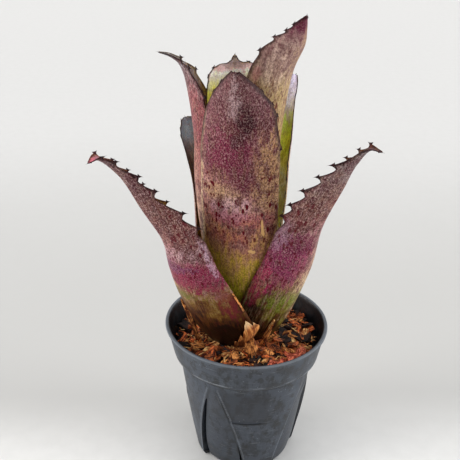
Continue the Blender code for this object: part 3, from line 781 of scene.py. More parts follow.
def blade(name, leaf, number):
    length, keel, _ = THORNS[name]
    bm = bmesh.new()
    bmesh.ops.create_grid(bm, x_segments=SHEET_COLUMNS, y_segments=SHEET_ROWS, size=0.5)
    flat = np.array([vert.co for vert in bm.verts])
    places = flat[:, 1] + 0.5
    across = 2 * flat[:, 0]
    half_width = np.maximum(read_at(WIDTH_AT, leaf["half_width"], places), NARROWEST)
    across_mm = half_width * across
    along_mm = places * MILLIMETRES_PER_PLACE
    raised = np.array([waves(number, x, y) for x, y in zip(across_mm, along_mm)])
    raised *= smoothstep(0.14, 0.4, places) * smoothstep(1.0, 0.85, places)
    ridge = np.exp(-((across - KEEL_PLACE) / KEEL_WIDTH) ** 2) * smoothstep(0.45, 0.62, places)
    raised += keel * ridge * smoothstep(1.0, 0.9, places)
    wider = margin_arcs(places, across, thorns_of[name], length, half_width)
    points = leaf_points(leaf, places, across, raised, wider)
    for vert, point in zip(bm.verts, points):
        vert.co = point
    skin = bm.loops.layers.uv.new("skin")
    zones = bm.loops.layers.uv.new("zones")
    edge = bm.verts.layers.float.new("edge")
    thin = bm.verts.layers.deform.new()
    shift = 13.0 * number
    bm.verts.index_update()
    for vert in bm.verts:
        i = vert.index
        vert[edge] = half_width[i] * (1 - abs(across[i]))
        vert[thin][0] = float(smoothstep(0, MARGIN_TAPER, vert[edge]))
        for loop in vert.link_loops:
            loop[skin].uv = (across_mm[i] / 10 + shift, along_mm[i] / 10)
            loop[zones].uv = (across[i] / 2 + 0.5, places[i])
    obj = finished("fine_" + name, bm, [outer_paint[name], inner_paint[name]], [name])
    obj.vertex_groups.new(name="thickness")
    solid = obj.modifiers.new("thickness", "SOLIDIFY")
    solid.thickness = BLADE * MM
    solid.offset = 0
    solid.vertex_group = "thickness"
    solid.thickness_vertex_group = MARGIN_SHARE
    solid.material_offset = 1
    return obj


blades = [blade(name, leaf, number) for number, (name, leaf) in enumerate(LEAVES.items())]
print("blades:", ", ".join(obj.name for obj in blades))

# %% [markdown]
# ## Thorns
#
# A thorn is a small flattened cone that leans back towards the leaf's foot. All thorns of a leaf make
# one object. Each starts as a six-sided cone, is cut into rings so that it can taper and bend, and is
# sunk into the margin.

# %% Model the thorns
THORN_ROOT = 1.1  # how far a thorn is sunk into the margin
THORN_WIDTH = 1.7
THORN_THICKNESS = 0.34
THORN_HOOK = 0.15  # how far its point bends over, as a share of its length
TIP_THORN = 2.0


def thorn(bm, foot, pointing, ahead, length):
    """One hooked thorn from a point on the margin."""
    flat = pointing.cross(ahead).normalized()
    lean = flat.cross(pointing)
    first = len(bm.verts)
    made = bmesh.ops.create_cone(bm, segments=6, radius1=1, radius2=0.02, depth=1, cap_ends=True)
    bmesh.ops.subdivide_edges(bm, edges=edges_along(made["verts"], 2), cuts=3)
    bm.verts.ensure_lookup_table()
    for vert in bm.verts[first:]:
        up = vert.co.z + 0.5
        slim = (1 - 0.92 * up) ** 1.5
        along = vert.co.x * THORN_WIDTH * slim - THORN_HOOK * length * up * up
        rise = up * (length + THORN_ROOT) - THORN_ROOT
        vert.co = foot + along * lean + vert.co.y * THORN_THICKNESS * slim * flat + rise * pointing


def leaf_thorns(name, leaf, number, material):
    length, _, _ = THORNS[name]
    rng = random.Random(100 + number)
    bm = bmesh.new()
    for edge, places in thorns_of[name].items():
        for place in places:
            foot = one_point(leaf, place, edge)
            outward = (foot - one_point(leaf, place, edge * 0.9)).normalized()
            ahead = one_point(leaf, min(place + 0.01, 1), edge) - one_point(leaf, place - 0.01, edge)
            ahead.normalize()
            foot += outward * ARC_RISE * length
            pointing = (outward - rng.uniform(0.7, 1.0) * ahead).normalized()
            thorn(bm, foot, pointing, ahead, length * rng.uniform(0.8, 1.1))
    tip, ahead, side, _ = (Vector(part[0]) for part in leaf_frame(leaf, np.array([1.0])))
    thorn(bm, tip, ahead, side, min(length, TIP_THORN))
    bmesh.ops.recalc_face_normals(bm, faces=bm.faces)
    return finished("thorns_of_" + name, bm, [material])


def horn_paint():
    """Dark, glossy horn, with browner streaks in its grain."""
    paint = Paint("thorn_horn", Specular_IOR_Level=0.15)
    place = paint.centimetres()
    grain = paint.noise(place, 9.0, 3)
    tint = paint.mix(paint.between(grain, 0.42, 0.62), colour(18, 6, 9), colour(58, 24, 24))
    paint.feed("Base Color", tint)
    paint.feed("Roughness", 0.42 + grain * 0.25)
    paint.bump(paint.noise(place, 30.0, 2), 0.3, 0.08 * MM)
    return paint.material


horn = horn_paint()
thorns = [leaf_thorns(name, leaf, number, horn) for number, (name, leaf) in enumerate(LEAVES.items())]
print("thorn objects:", len(thorns))

# %% [markdown]
# ## The nursery pot
#
# Pots like this are moulded thin, in one go, from dark recycled plastic. The wall is four petals with a
# sunken scoop between each pair, and narrow slots beside the petals let air and water through. The mesh
# is one closed skin: a grid is wrapped around the axis, its rows follow the profile from the inner
# floor over the lip to the underside, and its columns follow the petals' edges, so the creases fall
# where the mould has them.

# %% Pot profile and petals, in millimetres and degrees
POT_WALL = 1.2
BODY_TOP = 72.5
BODY_TOP_RADIUS = 42.2
BASE_RADIUS = 31.2
BODY_BULGE = 2.0
COLLAR_OUTSIDE = (  # radius and height
    (49.4, 92.5), (49.85, 92.2), (50.0, 91.6), (49.85, 90.95), (49.3, 90.65), (48.8, 90.3), (48.4, 89.2),
    (47.6, 85.2), (46.8, 81.4), (46.0, 77.8), (45.3, 74.6), (44.95, 73.3), (44.6, 72.85), (43.6, 72.6),
)
COLLAR_INSIDE = (
    (41.0, 73.7), (43.2, 74.0), (43.9, 74.7), (45.0, 79.5), (46.2, 84.8), (47.3, 89.8), (47.5, 91.6),
    (47.9, 92.3),
)
BODY_HEIGHTS = (
    72.5, 71.0, 68.5, 66.0, 63.5, 61.0, 57.5, 54.0, 50.0, 46.5, 43.3, 42.7, 42.3, 41.8, 38.0, 34.0,
    30.0, 26.0, 22.0, 18.0, 14.0, 11.0, 8.0, 5.5, 3.6, 2.2,
)
BASE_OUTSIDE = ((31.0, 1.2), (30.7, 0.6), (30.2, 0.15), (29.6, 0.0))
FLOOR_RINGS = (24.0, 18.0, 12.0, 6.0)
OUT_OF_ROUND = 0.017
OUT_OF_ROUND_TURN = 34.0
PETALS = 4
PETAL_TURN = 15.0
PETAL_STEPS = 24  # an even number, so that one column runs down the middle
STEP_STEPS = 2
SCOOP_STEPS = 10
COLUMNS = PETAL_STEPS + 2 * STEP_STEPS + SCOOP_STEPS  # of the mesh, for a petal and the scoop beside it
PETAL_HALF_FOOT = 17.0
PETAL_SPREAD = 23.0  # how much wider half a petal is, as an angle, at the height that follows
PETAL_SPREAD_HEIGHT = 62.0
PETAL_FLARE = 1.35
LEDGE = (42.2, 43.0)  # above this step the left half of a petal is sunken a little
LEDGE_FADE = 68.0  # from here up it comes out again
LEDGE_DEPTH = 0.8
SCOOP_TOP = 66.0
SCOOP_FULL = 40.0
SCOOP_DEPTH = 1.8
SCOOP_FOOT = 14.0  # below this height the scoop is tucked in further
SCOOP_FOOT_DEPTH = 1.0
STEP_ANGLE = 0.9  # of the step between a petal and a scoop


def body_radius(height):
    share = height / BODY_TOP
    return BASE_RADIUS + (BODY_TOP_RADIUS - BASE_RADIUS) * share + BODY_BULGE * share * (1 - share)


def petal_half(height):
    """Half of a petal's width at a height, as an angle."""
    return PETAL_HALF_FOOT + PETAL_SPREAD * (min(height, SCOOP_TOP) / PETAL_SPREAD_HEIGHT) ** PETAL_FLARE


def scoop_depth(height):
    if height > SCOOP_TOP:
        return 0
    foot = SCOOP_FOOT_DEPTH * float(smoothstep(SCOOP_FOOT, 0, height))
    return SCOOP_DEPTH * float(smoothstep(SCOOP_TOP, SCOOP_FULL, height)) + foot


def pot_turn(column, height, narrower):
    """Angle of a column of the mesh: a petal's columns, a step, the scoop's columns and another step."""
    petal, step = divmod(column, COLUMNS)
    half = petal_half(height) - narrower
    middle = PETAL_TURN + petal * 360 / PETALS
    edge = half + STEP_ANGLE
    if step <= PETAL_STEPS:
        return middle + half * (2 * step / PETAL_STEPS - 1)
    if step <= PETAL_STEPS + STEP_STEPS:
        return middle + half + STEP_ANGLE * (step - PETAL_STEPS) / STEP_STEPS
    into_scoop = step - PETAL_STEPS - STEP_STEPS
    if into_scoop <= SCOOP_STEPS:
        return middle + edge + (360 / PETALS - 2 * edge) * into_scoop / SCOOP_STEPS
    return middle + 360 / PETALS - edge + STEP_ANGLE * (into_scoop - SCOOP_STEPS) / STEP_STEPS


def pot_sink(column, height):
    """How far a column's surface lies inside the pot's plain body."""
    step = column % COLUMNS
    if step > PETAL_STEPS:
        into_step = min(step - PETAL_STEPS, COLUMNS - step) / STEP_STEPS
        return scoop_depth(height) * float(smoothstep(0, 1, into_step))
    if step in (0, PETAL_STEPS):
        return 0
    left_half = float(smoothstep(PETAL_STEPS / 2 + 0.5, PETAL_STEPS / 2 - 1, step))
    sunken = smoothstep(*LEDGE, height) * smoothstep(BODY_TOP, LEDGE_FADE, height)
    return LEDGE_DEPTH * left_half * float(sunken)


def pot_rings():
    """Radius, height, whether it follows the scoops and whether it is inside, from the floor over the lip."""
    inner_heights = [height for height in reversed(BODY_HEIGHTS) if height < BODY_TOP]
    rings = [(0, POT_WALL, False, True)]
    rings += [(radius, POT_WALL, False, True) for radius in reversed(FLOOR_RINGS)]
    rings.append((BASE_OUTSIDE[-1][0] - POT_WALL, POT_WALL, True, True))
    rings += [(body_radius(height) - POT_WALL, height, True, True) for height in inner_heights]
    rings += [(radius, height, False, True) for radius, height in COLLAR_INSIDE]
    rings += [(radius, height, False, False) for radius, height in COLLAR_OUTSIDE]
    rings += [(body_radius(height), height, True, False) for height in BODY_HEIGHTS]
    rings += [(radius, height, True, False) for radius, height in BASE_OUTSIDE]
    rings += [(radius, 0, False, False) for radius in FLOOR_RINGS]
    return [*rings, (0, 0, False, False)]


def pot_point(column, ring):
    radius, height, scooped, inside = ring
    narrower = math.degrees(POT_WALL / radius) if scooped and inside else 0
    turn = pot_turn(column, height, narrower)
    if scooped:
        radius -= pot_sink(column, height)
    radius *= 1 + OUT_OF_ROUND * math.cos(2 * math.radians(turn - OUT_OF_ROUND_TURN))
    return round_axis(turn, radius, height)


print("pot's skin:", PETALS * COLUMNS, "columns and", len(pot_rings()), "rings")

# %% [markdown]
# ## Slots and drain holes
#
# A slot is a wedge that leans along its petal's edge, and a drain hole is a short drum through the
# floor. They are closed meshes in a collection of their own, so that a single Boolean cuts them all.
# Its result becomes the pot's mesh, and the cutters are removed.

# %% Cutters for the slots and drain holes
SLOT_FOOT = 2.8
LONG_SLOT = (56.0, 0.7, 3.2)  # height of its tip, width at the tip and at the foot
SHORT_SLOT = (24.0, 0.6, 2.0)
SLOT_OVERLAP = 0.25  # how far a slot reaches over the petal's edge
CUTTER_OUTSIDE = 4.0  # how far a slot's cutter stands out of the wall
CUTTER_DEPTH = 14.0
DRAIN_HOLES = 6
DRAIN_RADIUS = 2.8
DRAIN_RING = 16.0


def hidden(name, bm):
    """A cutter, from a bmesh in millimetres: it is used by the Boolean and removed afterwards."""
    bmesh.ops.scale(bm, vec=(MM, MM, MM), verts=bm.verts)
    mesh = bpy.data.meshes.new(name)
    bm.to_mesh(mesh)
    bm.free()
    return bpy.data.objects.new(name, mesh)


def slot_cutter(turn_at, slot, toward):
    """A wedge that cuts the wall beside a petal's edge, widening to its foot."""
    tip, tip_width, foot_width = slot
    bm = bmesh.new()
    bmesh.ops.create_grid(bm, x_segments=2, y_segments=16, size=0.5)
    for vert in bm.verts:
        share = vert.co.y + 0.5
        height = SLOT_FOOT + (tip - SLOT_FOOT) * share
        radius = body_radius(height) + CUTTER_OUTSIDE
        width = foot_width + (tip_width - foot_width) * share
        offset = -SLOT_OVERLAP + (width + SLOT_OVERLAP) * (vert.co.x + 0.5)
        vert.co = round_axis(turn_at(height) + toward * math.degrees(offset / radius), radius, height)
    made = bmesh.ops.extrude_face_region(bm, geom=bm.faces[:])
    for vert in made["geom"]:
        if isinstance(vert, bmesh.types.BMVert):
            vert.co -= CUTTER_DEPTH * Vector((vert.co.x, vert.co.y, 0)).normalized()
    bmesh.ops.recalc_face_normals(bm, faces=bm.faces)
    return hidden("slot_cutter", bm)


def drain_cutter(turn):
    bm = bmesh.new()
    bmesh.ops.create_cone(bm, segments=24, radius1=DRAIN_RADIUS, radius2=DRAIN_RADIUS, depth=6, cap_ends=True)
    bmesh.ops.translate(bm, verts=bm.verts, vec=round_axis(turn, DRAIN_RING, 0))
    return hidden("drain_cutter", bm)


def put_in_order(bm):
    """Sort corners by place and faces by their corners, since cuts and merges leave them in any order."""
    by_place = sorted(bm.verts, key=lambda vert: tuple(vert.co))
    rank = {vert: number for number, vert in enumerate(by_place)}
    bm.verts.sort(key=rank.get)
    bm.verts.index_update()
    by_corners = sorted(bm.faces, key=lambda face: sorted(vert.index for vert in face.verts))
    rank = {face: number for number, face in enumerate(by_corners)}
    bm.faces.sort(key=rank.get)


def cut(obj, cutters):
    """Cut a set of closed meshes out of an object and keep the result."""
    group = bpy.data.collections.new("pot_cutters")
    bpy.context.scene.collection.children.link(group)
    for cutter in cutters:
        group.objects.link(cutter)
    boolean = obj.modifiers.new("slots", "BOOLEAN")
    boolean.operand_type = "COLLECTION"
    boolean.collection = group
    boolean.operation = "DIFFERENCE"
    boolean.solver = "EXACT"
    graph = bpy.context.evaluated_depsgraph_get()
    mesh = bpy.data.meshes.new_from_object(obj.evaluated_get(graph))
    bm = bmesh.new()
    bm.from_mesh(mesh)
    put_in_order(bm)
    bm.to_mesh(mesh)
    bm.free()
    obj.modifiers.clear()
    obj.data = mesh
    for cutter in cutters:
        bpy.data.objects.remove(cutter, do_unlink=True)
    bpy.data.collections.remove(group)


print("to be cut:", 2 * PETALS, "slots and", DRAIN_HOLES, "drain holes")

# %% [markdown]
# ## Pot finish
#
# Recycled plastic is never an even black. Handling polishes it, splashed peat dries to a pale bloom,
# and stacking scratches it. So the charcoal carries clouds, a bloom, dark smudges, fine scratches
# around it, specks of soil and a few painted glints of light. A UV map counts how far a point is from
# its petal's edge and middle, in centimetres, so that painted shade darkens the creases, the scoops,
# a sunken facet and the petals' wrinkle where the mould left it, and a painted highlight runs along
# each edge. The lip carries a painted highlight, a painted shadow lies under the collar, and painted
# shade darkens the inside of the pot nearly to black.

# %% Paint for the pot
PETAL_UV = "petals"
INSIDE_SHIFT = 40.0  # added to the UVs of the inside, so that the paint can tell it from the outside
SHARP_ABOVE = 38.0  # degrees between two faces, above which their edge is a crease

# Heights in centimetres above the base
LIP_HIGHLIGHT = (9.10, 9.20)
BODY_BELOW = (6.9, 6.4)
WRINKLE = 4.22
COLLAR_SHADOW = 7.14
CHAFED = 7.42


def pot_paint():
    """Dusty charcoal plastic, smudged and scratched, with painted shade in its creases and painted highlights
    on its edges and lip.
    """
    paint = Paint("nursery_plastic", Specular_IOR_Level=0.45)
    place = paint.centimetres()
    _, _, height = paint.axes(place)
    from_edge, from_middle, _ = paint.axes(paint.uv(PETAL_UV))
    clouds = paint.noise(paint.stretch(place, (0.55, 0.55, 0.4)), 1.0, 6, 0.62)
    smudges = paint.noise(paint.stretch(place, (2.2, 2.2, 1.4)), 1.0, 5, 0.7)
    scratches = paint.noise(paint.stretch(place, (0.9, 0.9, 11.0)), 1.0, 3, 0.7)
    grain = paint.noise(place, 22.0, 2)
    tint = paint.mix(paint.between(clouds, 0.43, 0.56), colour(18, 23, 32), colour(50, 57, 68))
    tint = paint.mix(paint.between(smudges, 0.53, 0.58) * 0.75, tint, colour(15, 17, 23))
    bloom = paint.between(smudges * 0.5 + clouds * 0.5, 0.49, 0.42)
    tint = paint.mix(bloom * 0.4, tint, colour(88, 97, 108))
    tint = paint.mix(paint.between(scratches, 0.60, 0.68) * 0.35, tint, colour(112, 117, 124))
    # painted highlight: a paler band around the lip, where the light catches it
    lip_highlight = paint.between(height + (grain - 0.5) * 0.08, *LIP_HIGHLIGHT)
    tint = paint.mix(lip_highlight * 0.6, tint, colour(112, 118, 125))

    on_body = paint.between(height, *BODY_BELOW)
    wobble = (smudges - 0.5) * 0.5
    # painted shade: the sunken left facet of a petal, above the wrinkle, is darker where it tilts from the
    # light
    facet_shade = paint.between(from_middle + wobble, 0.6, 0.1) * paint.between(height + wobble, 4.15, 4.3)
    tint = paint.mix(facet_shade * on_body * paint.between(from_edge, 0.04, 0.12) * 0.6, tint, colour(32, 35, 43))
    # painted shade: the sunken scoops between the petals are darker
    scoop_shade = paint.between(from_edge, 0.0, -0.12)
    tint = paint.mix(scoop_shade * on_body * 0.35, tint, colour(24, 28, 37))
    # painted shade: a dark line along each crease at a petal's edge
    crease_shade = paint.between((from_edge + 0.05).absolute(), 0.16, 0.03)
    tint = paint.mix(crease_shade * on_body * 0.55, tint, colour(14, 15, 19))
    # painted highlight: a pale line just inside each petal's edge, where the ridge catches the light, broken
    # by the grain
    edge_highlight = paint.between((from_edge - 0.14).absolute(), 0.08, 0.02) * paint.between(grain, 0.40, 0.52)
    tint = paint.mix(edge_highlight * on_body * 0.32, tint, colour(132, 138, 146))
    # painted shade: a dark line along the wrinkle at each petal's ledge
    wrinkle_shade = paint.between((height - WRINKLE + wobble * 0.4).absolute(), 0.08, 0.02)
    wrinkle_shade = wrinkle_shade * paint.between(from_middle, 0.9, -0.1) * paint.between(from_edge, 0.1, 0.4)
    tint = paint.mix(wrinkle_shade * 0.8, tint, colour(16, 17, 20))
    # painted shadow: a dark band under the collar's overhang
    collar_shadow = paint.between((height - COLLAR_SHADOW).absolute(), 0.22, 0.08)
    tint = paint.mix(collar_shadow * 0.7, tint, colour(14, 16, 20))
    chafed = paint.between((height - CHAFED + wobble * 0.3).absolute(), 0.08, 0.02)
    chafed = chafed * paint.between(scratches, 0.50, 0.56)
    tint = paint.mix(chafed * 0.5, tint, colour(140, 146, 152))

    # painted shade: the inside of the pot, under the rim and the plant, is darkened nearly to black
    inside_shade = paint.between(from_middle, INSIDE_SHIFT * 0.6, INSIDE_SHIFT * 0.85)
    tint = paint.mix(inside_shade * 0.85, tint, colour(12, 13, 16))
    specks = paint.between(paint.spots(place, 2.6), 0.11, 0.07) * paint.between(smudges, 0.47, 0.52)
    tint = paint.mix(specks, tint, colour(12, 12, 14))
    # painted highlights: tiny glints of light
    glints = paint.between(paint.spots(place, 3.3), 0.08, 0.05) * paint.between(clouds, 0.46, 0.50)
    tint = paint.mix(glints * 0.7, tint, colour(150, 156, 162))
    paint.feed("Base Color", tint)
    paint.feed("Roughness", 0.32 + clouds * 0.16 + bloom * 0.2)
    paint.bump(clouds * 0.4 + grain * 0.12 + smudges * 0.5 + scratches * 0.2, 0.5, 0.5 * MM)
    return paint.material


plastic = pot_paint()
print("painted the pot with", len(plastic.node_tree.nodes), "nodes")

# %% [markdown]
# ## The pot's mesh
#
# The grid is made flat, with a column and a row number for each of its corners, and every corner is
# then carried to its place on the pot. The corners that meet at the seam and at the two poles are
# merged before the slots are cut.


# %% Model the pot
def petal_place(turn, height, radius):
    """How far inside its petal's edge, and how far right of the middle, a point of the pot is, in cm."""
    spacing = 360 / PETALS
    offset = (turn - PETAL_TURN + spacing / 2) % spacing - spacing / 2
    reach = math.radians(1) * radius / 10
    return (petal_half(height) - abs(offset)) * reach, offset * reach


def make_pot(material):
    columns = PETALS * COLUMNS
    rings = pot_rings()
    rows = len(rings) - 1
    bm = bmesh.new()
    bmesh.ops.create_grid(bm, x_segments=columns, y_segments=rows, size=0.5)
    petals = bm.loops.layers.uv.new(PETAL_UV)
    for vert in bm.verts:
        column = round((vert.co.x + 0.5) * columns)
        row = round((vert.co.y + 0.5) * rows)
        radius, height, _, inside = rings[row]
        for loop in vert.link_loops:
            loop[petals].uv = petal_place(pot_turn(column, height, 0), height, radius)
            if inside:
                loop[petals].uv.y += INSIDE_SHIFT
        vert.co = pot_point(column, rings[row])
    bmesh.ops.remove_doubles(bm, verts=bm.verts, dist=0.001)
    bmesh.ops.recalc_face_normals(bm, faces=bm.faces)
    pot = finished("fine_pot", bm, [material], ["pot"])
    cutters = [drain_cutter(360 * hole / DRAIN_HOLES) for hole in range(DRAIN_HOLES)]
    for petal in range(PETALS):
        middle = PETAL_TURN + petal * 360 / PETALS
        cutters.append(slot_cutter(lambda z, m=middle: m + petal_half(z), LONG_SLOT, 1))
        cutters.append(slot_cutter(lambda z, m=middle: m - petal_half(z), SHORT_SLOT, -1))
    cut(pot, cutters)
    pot.data.set_sharp_from_angle(angle=math.radians(SHARP_ABOVE))
    return pot


pot = make_pot(plastic)
print("pot:", len(pot.data.polygons), "faces")

# %% [markdown]
# ## Bark
#
# The medium is chipped pine bark, from rust over brown to tan. Its fibres run along each chip,
# whichever way the chip lies, so the paint reads a UV map that every chip brings with it, and not the
# piece's own coordinates.

# %% Bark paint
GRAIN_UV = "grain"


def bark_paint(name, light, dark, roughness=0.8):
    """Fibrous bark. The grain runs along each chip's own length."""
    paint = Paint(name, Specular_IOR_Level=0.3)
    grain = paint.uv(GRAIN_UV)
    fibres = paint.noise(paint.stretch(grain, (1.6, 14.0, 1.0)), 1.0, 4, 0.65)
    patches = paint.noise(grain, 3.0, 3)
    pores = paint.noise(paint.stretch(grain, (7.0, 26.0, 1.0)), 1.0, 2)
    tint = paint.mix(paint.between(fibres + (patches - 0.5) * 0.7, 0.42, 0.60), dark, light)
    tint = paint.mix(paint.between(pores, 0.57, 0.66) * 0.8, tint, colour(22, 11, 7))
    paint.feed("Base Color", tint)
    paint.feed("Roughness", roughness + (fibres - 0.5) * 0.2)
    paint.bump(fibres * 0.8 + pores * 0.4, 0.9, 0.4 * MM)
    return paint.material


bark_tints = [
    bark_paint("bark_rust", colour(236, 120, 58), colour(78, 28, 12)),
    bark_paint("bark_brown", colour(194, 104, 54), colour(44, 18, 9)),
    bark_paint("bark_dark", colour(54, 30, 22), colour(9, 4, 3)),
    bark_paint("bark_tan", colour(252, 196, 126), colour(168, 96, 46)),
    bark_paint("bark_ochre", colour(248, 162, 88), colour(100, 46, 20)),
]
red_bark = bark_paint("bark_red", colour(238, 132, 100), colour(128, 42, 26))
print("bark tints:", len(bark_tints) + 1)

# %% [markdown]
# ## One chip, and a heap of them
#
# A chip splits along its grain, so it is longer than wide and wider than thick, with torn ends. Each
# one starts as a block, is cut across its length, and has its corners pushed about, the ends most. A
# heap drops many of them at seeded places on the mound, outside the crown and inside the wall, in one
# mesh.

# %% Chips
MEDIUM_TOP = ((0.0, 83.5), (20.0, 83.3), (33.0, 82.0), (40.5, 79.8), (42.6, 77.6))  # radius and height
MEDIUM_SHIFT = -0.6
CROWN_RADIUS = 17.0  # chips keep this far from the plant's axis
CHIP_REACH = 45.0  # no chip ends further out than this, so none runs into the pot's wall
RED_CHIPS = ((27.0, -26.5), (30.5, -24.5), (24.5, -32.0), (19.5, -34.5), (14.5, -36.5))


def mound_height(x, y):
    radius = math.hypot(x - MEDIUM_SHIFT, y)
    return float(np.interp(radius, [stop[0] for stop in MEDIUM_TOP], [stop[1] for stop in MEDIUM_TOP]))


def chip(bm, centre, size, rng, tilt, tint=0, torn=0.35, facing=None):
    """A splinter of bark with torn ends, lying at some turn and tilt, or facing as told."""
    first_vert = len(bm.verts)
    first_face = len(bm.faces)
    made = bmesh.ops.create_cube(bm, size=1)
    bmesh.ops.subdivide_edges(bm, edges=edges_along(made["verts"], 0), cuts=3, use_grid_fill=True)
    bm.verts.ensure_lookup_table()
    bm.faces.ensure_lookup_table()
    verts = bm.verts[first_vert:]
    faces = bm.faces[first_face:]
    bow = rng.uniform(-0.12, 0.12)
    for vert in verts:
        end = abs(vert.co.x) * 2
        narrow = 1 - torn * end * end * rng.uniform(0.3, 1.5)
        vert.co.x += end * rng.uniform(-0.14, 0.14)
        vert.co.y = vert.co.y * narrow + rng.uniform(-0.08, 0.08) + bow * (1 - end * end)
        vert.co.z = vert.co.z * narrow * rng.uniform(0.75, 1.15)
    bmesh.ops.scale(bm, verts=verts, vec=size)
    layer = bm.loops.layers.uv[GRAIN_UV]
    shift = Vector((rng.uniform(0, 60), rng.uniform(0, 60)))
    for face in faces:
        face.material_index = tint
        for loop in face.loops:
            spot = loop.vert.co
            loop[layer].uv = (spot.x / 10 + shift.x, (spot.y + 0.8 * spot.z) / 10 + shift.y)
    if facing is None:
        turn = Matrix.Rotation(rng.uniform(0, math.tau), 3, "Z")
        pitch = Matrix.Rotation(math.radians(rng.uniform(-tilt, tilt)), 3, "Y")
        roll = Matrix.Rotation(math.radians(rng.uniform(-35, 35)), 3, "X")
        facing = turn @ pitch @ roll
    bmesh.ops.rotate(bm, verts=verts, cent=(0, 0, 0), matrix=facing)
    bmesh.ops.translate(bm, verts=verts, vec=centre)


def heap_spot(rng, near, far):
    """A spot on the mound, outside the crown and inside the wall."""
    while True:
        spot = round_axis(rng.uniform(0, 360), far * math.sqrt(rng.uniform(0.05, 1)), 0)
        if math.hypot(spot.x - PLANT_AXIS[0], spot.y - PLANT_AXIS[1]) > near:
            return spot


def chip_heap(name, count, lengths, rng, lift, tilt, weights, far=41.0):
    """Many chips in one mesh; weights say how often each of the bark tints comes up."""
    bm = bmesh.new()
    bm.loops.layers.uv.new(GRAIN_UV)
    for _ in range(count):
        length = rng.uniform(*lengths)
        spot = heap_spot(rng, CROWN_RADIUS, min(far, CHIP_REACH - length / 2))
        size = (length, length * rng.uniform(0.22, 0.6), length * rng.uniform(0.10, 0.26))
        spot.z = mound_height(spot.x, spot.y) + rng.uniform(*lift)
        tint = rng.choices(range(len(bark_tints)), weights)[0]
        chip(bm, spot, size, rng, tilt, tint)
    bmesh.ops.recalc_face_normals(bm, faces=bm.faces)
    return finished(name, bm, bark_tints, smooth=False)


print("chips keep within", CHIP_REACH, "mm of the pot's axis")

# %% [markdown]
# ## The mound under the chips
#
# Between the chips one looks into dark gaps. A turned mound fills the pot below them, roughened by
# noise and painted like damp dust, nearly black, which is also painted shade in those gaps. Two layers
# lie on it: small dark crumbs first, then larger chips.


# %% The mound and two layers of bark
def mound_paint():
    paint = Paint("bark_dust_and_gap_shade", Specular_IOR_Level=0.2)
    place = paint.centimetres()
    crumbs = paint.noise(place, 6.0, 5, 0.7)
    # damp dust, painted nearly black so that it is also painted shade in the gaps between the chips
    tint = paint.mix(paint.between(crumbs, 0.42, 0.72), colour(10, 6, 5), colour(48, 27, 18))
    paint.feed("Base Color", tint)
    paint.feed("Roughness", 0.8 + crumbs * 0.2)
    paint.bump(crumbs, 1.0, 1.2 * MM)
    return paint.material


LUMP_SIZE = 3.1  # of the unevenness of turned pieces
LUMP_SEED = 5  # without a seed, noise_vector gives other lumps in each run
MOUND_PROFILE = (
    (0.0, 83.0), (8.0, 83.0), (14.0, 82.9), (20.0, 82.7), (26.0, 82.2), (33.0, 81.2), (37.0, 80.2),
    (40.5, 78.8), (42.2, 77.0), (41.8, 75.6), (38.6, 74.6), (38.4, 71.0), (37.0, 65.0), (36.2, 60.0),
    (33.7, 50.0), (31.2, 40.0), (29.0, 27.0), (27.0, 15.0), (23.4, 3.0), (22.6, 1.6), (0.0, 1.6),
)


def turned(name, profile, centre, material, steps, node, rough):
    """Spin a profile, written from top to bottom, about an upright axis, and roughen it."""
    bm = bmesh.new()
    verts = [bm.verts.new((radius, 0, height)) for radius, height in profile]
    edges = [bm.edges.new(pair) for pair in zip(verts, verts[1:])]
    bmesh.ops.spin(
        bm, geom=verts + edges, angle=math.tau, steps=steps, axis=(0, 0, 1), cent=(0, 0, 0), use_merge=True
    )
    bmesh.ops.remove_doubles(bm, verts=bm.verts, dist=0.001)
    bmesh.ops.recalc_face_normals(bm, faces=bm.faces)
    put_in_order(bm)
    noise.seed_set(LUMP_SEED)
    for vert in bm.verts:
        vert.co += rough * noise.noise_vector(vert.co / LUMP_SIZE)
    bmesh.ops.translate(bm, verts=bm.verts, vec=(*centre, 0))
    return finished(name, bm, [material], [node])


mound = turned("bark_mound", MOUND_PROFILE, (MEDIUM_SHIFT, 0), mound_paint(), 120, "bark_medium", 0.5)
crumbs = chip_heap(
    "bark_crumbs", 560, (1.6, 4.6), random.Random(3), (-0.2, 1.0), 45, (2, 4, 12, 1.0, 1.5), far=43.0
)
chips = chip_heap("bark_chips", 200, (6.0, 15.0), random.Random(4), (0.4, 2.8), 28, (5, 6, 6, 2.0, 2.5))
print("faces in mound, crumbs and chips:", [len(obj.data.polygons) for obj in (mound, crumbs, chips)])

# %% [markdown]
# ## Red chips, splinters and fibres
#
# A few reddish chips lie together at the front right. Loose fibres are strewn over the heap like the
# chips. A handful of splinters and a bundle of pale fibres have places of their own, because they stand
# or lie where they are seen against the leaves. One splinter is caught where the two outer leaves
# cross.

# %% Red chips and fibres
# A splinter's foot and tip, its width and thickness, and which of the bark tints it has
SPLINTERS = (
    ((1.9, -26.4, 84.0), (1.2, -26.0, 95.5), 7.4, 2.6, 4),
    ((8.2, -18.6, 86.0), (15.0, -20.6, 103.0), 2.8, 0.9, 4),
    ((12.6, -20.2, 98.0), (16.0, -22.0, 106.4), 1.5, 0.7, 3),
    ((-27.2, -14.0, 83.5), (-36.9, -15.8, 114.0), 2.4, 0.8, 4),
    ((-2.6, -34.6, 120.4), (-7.9, -36.0, 131.0), 1.1, 0.5, 4),
)
BUNDLE = 9  # pale fibres that lie side by side in front of the plant
BUNDLE_FOOT = (-14.6, -18.6, 85.6)
BUNDLE_TIP = (-8.6, -27.4, 86.4)


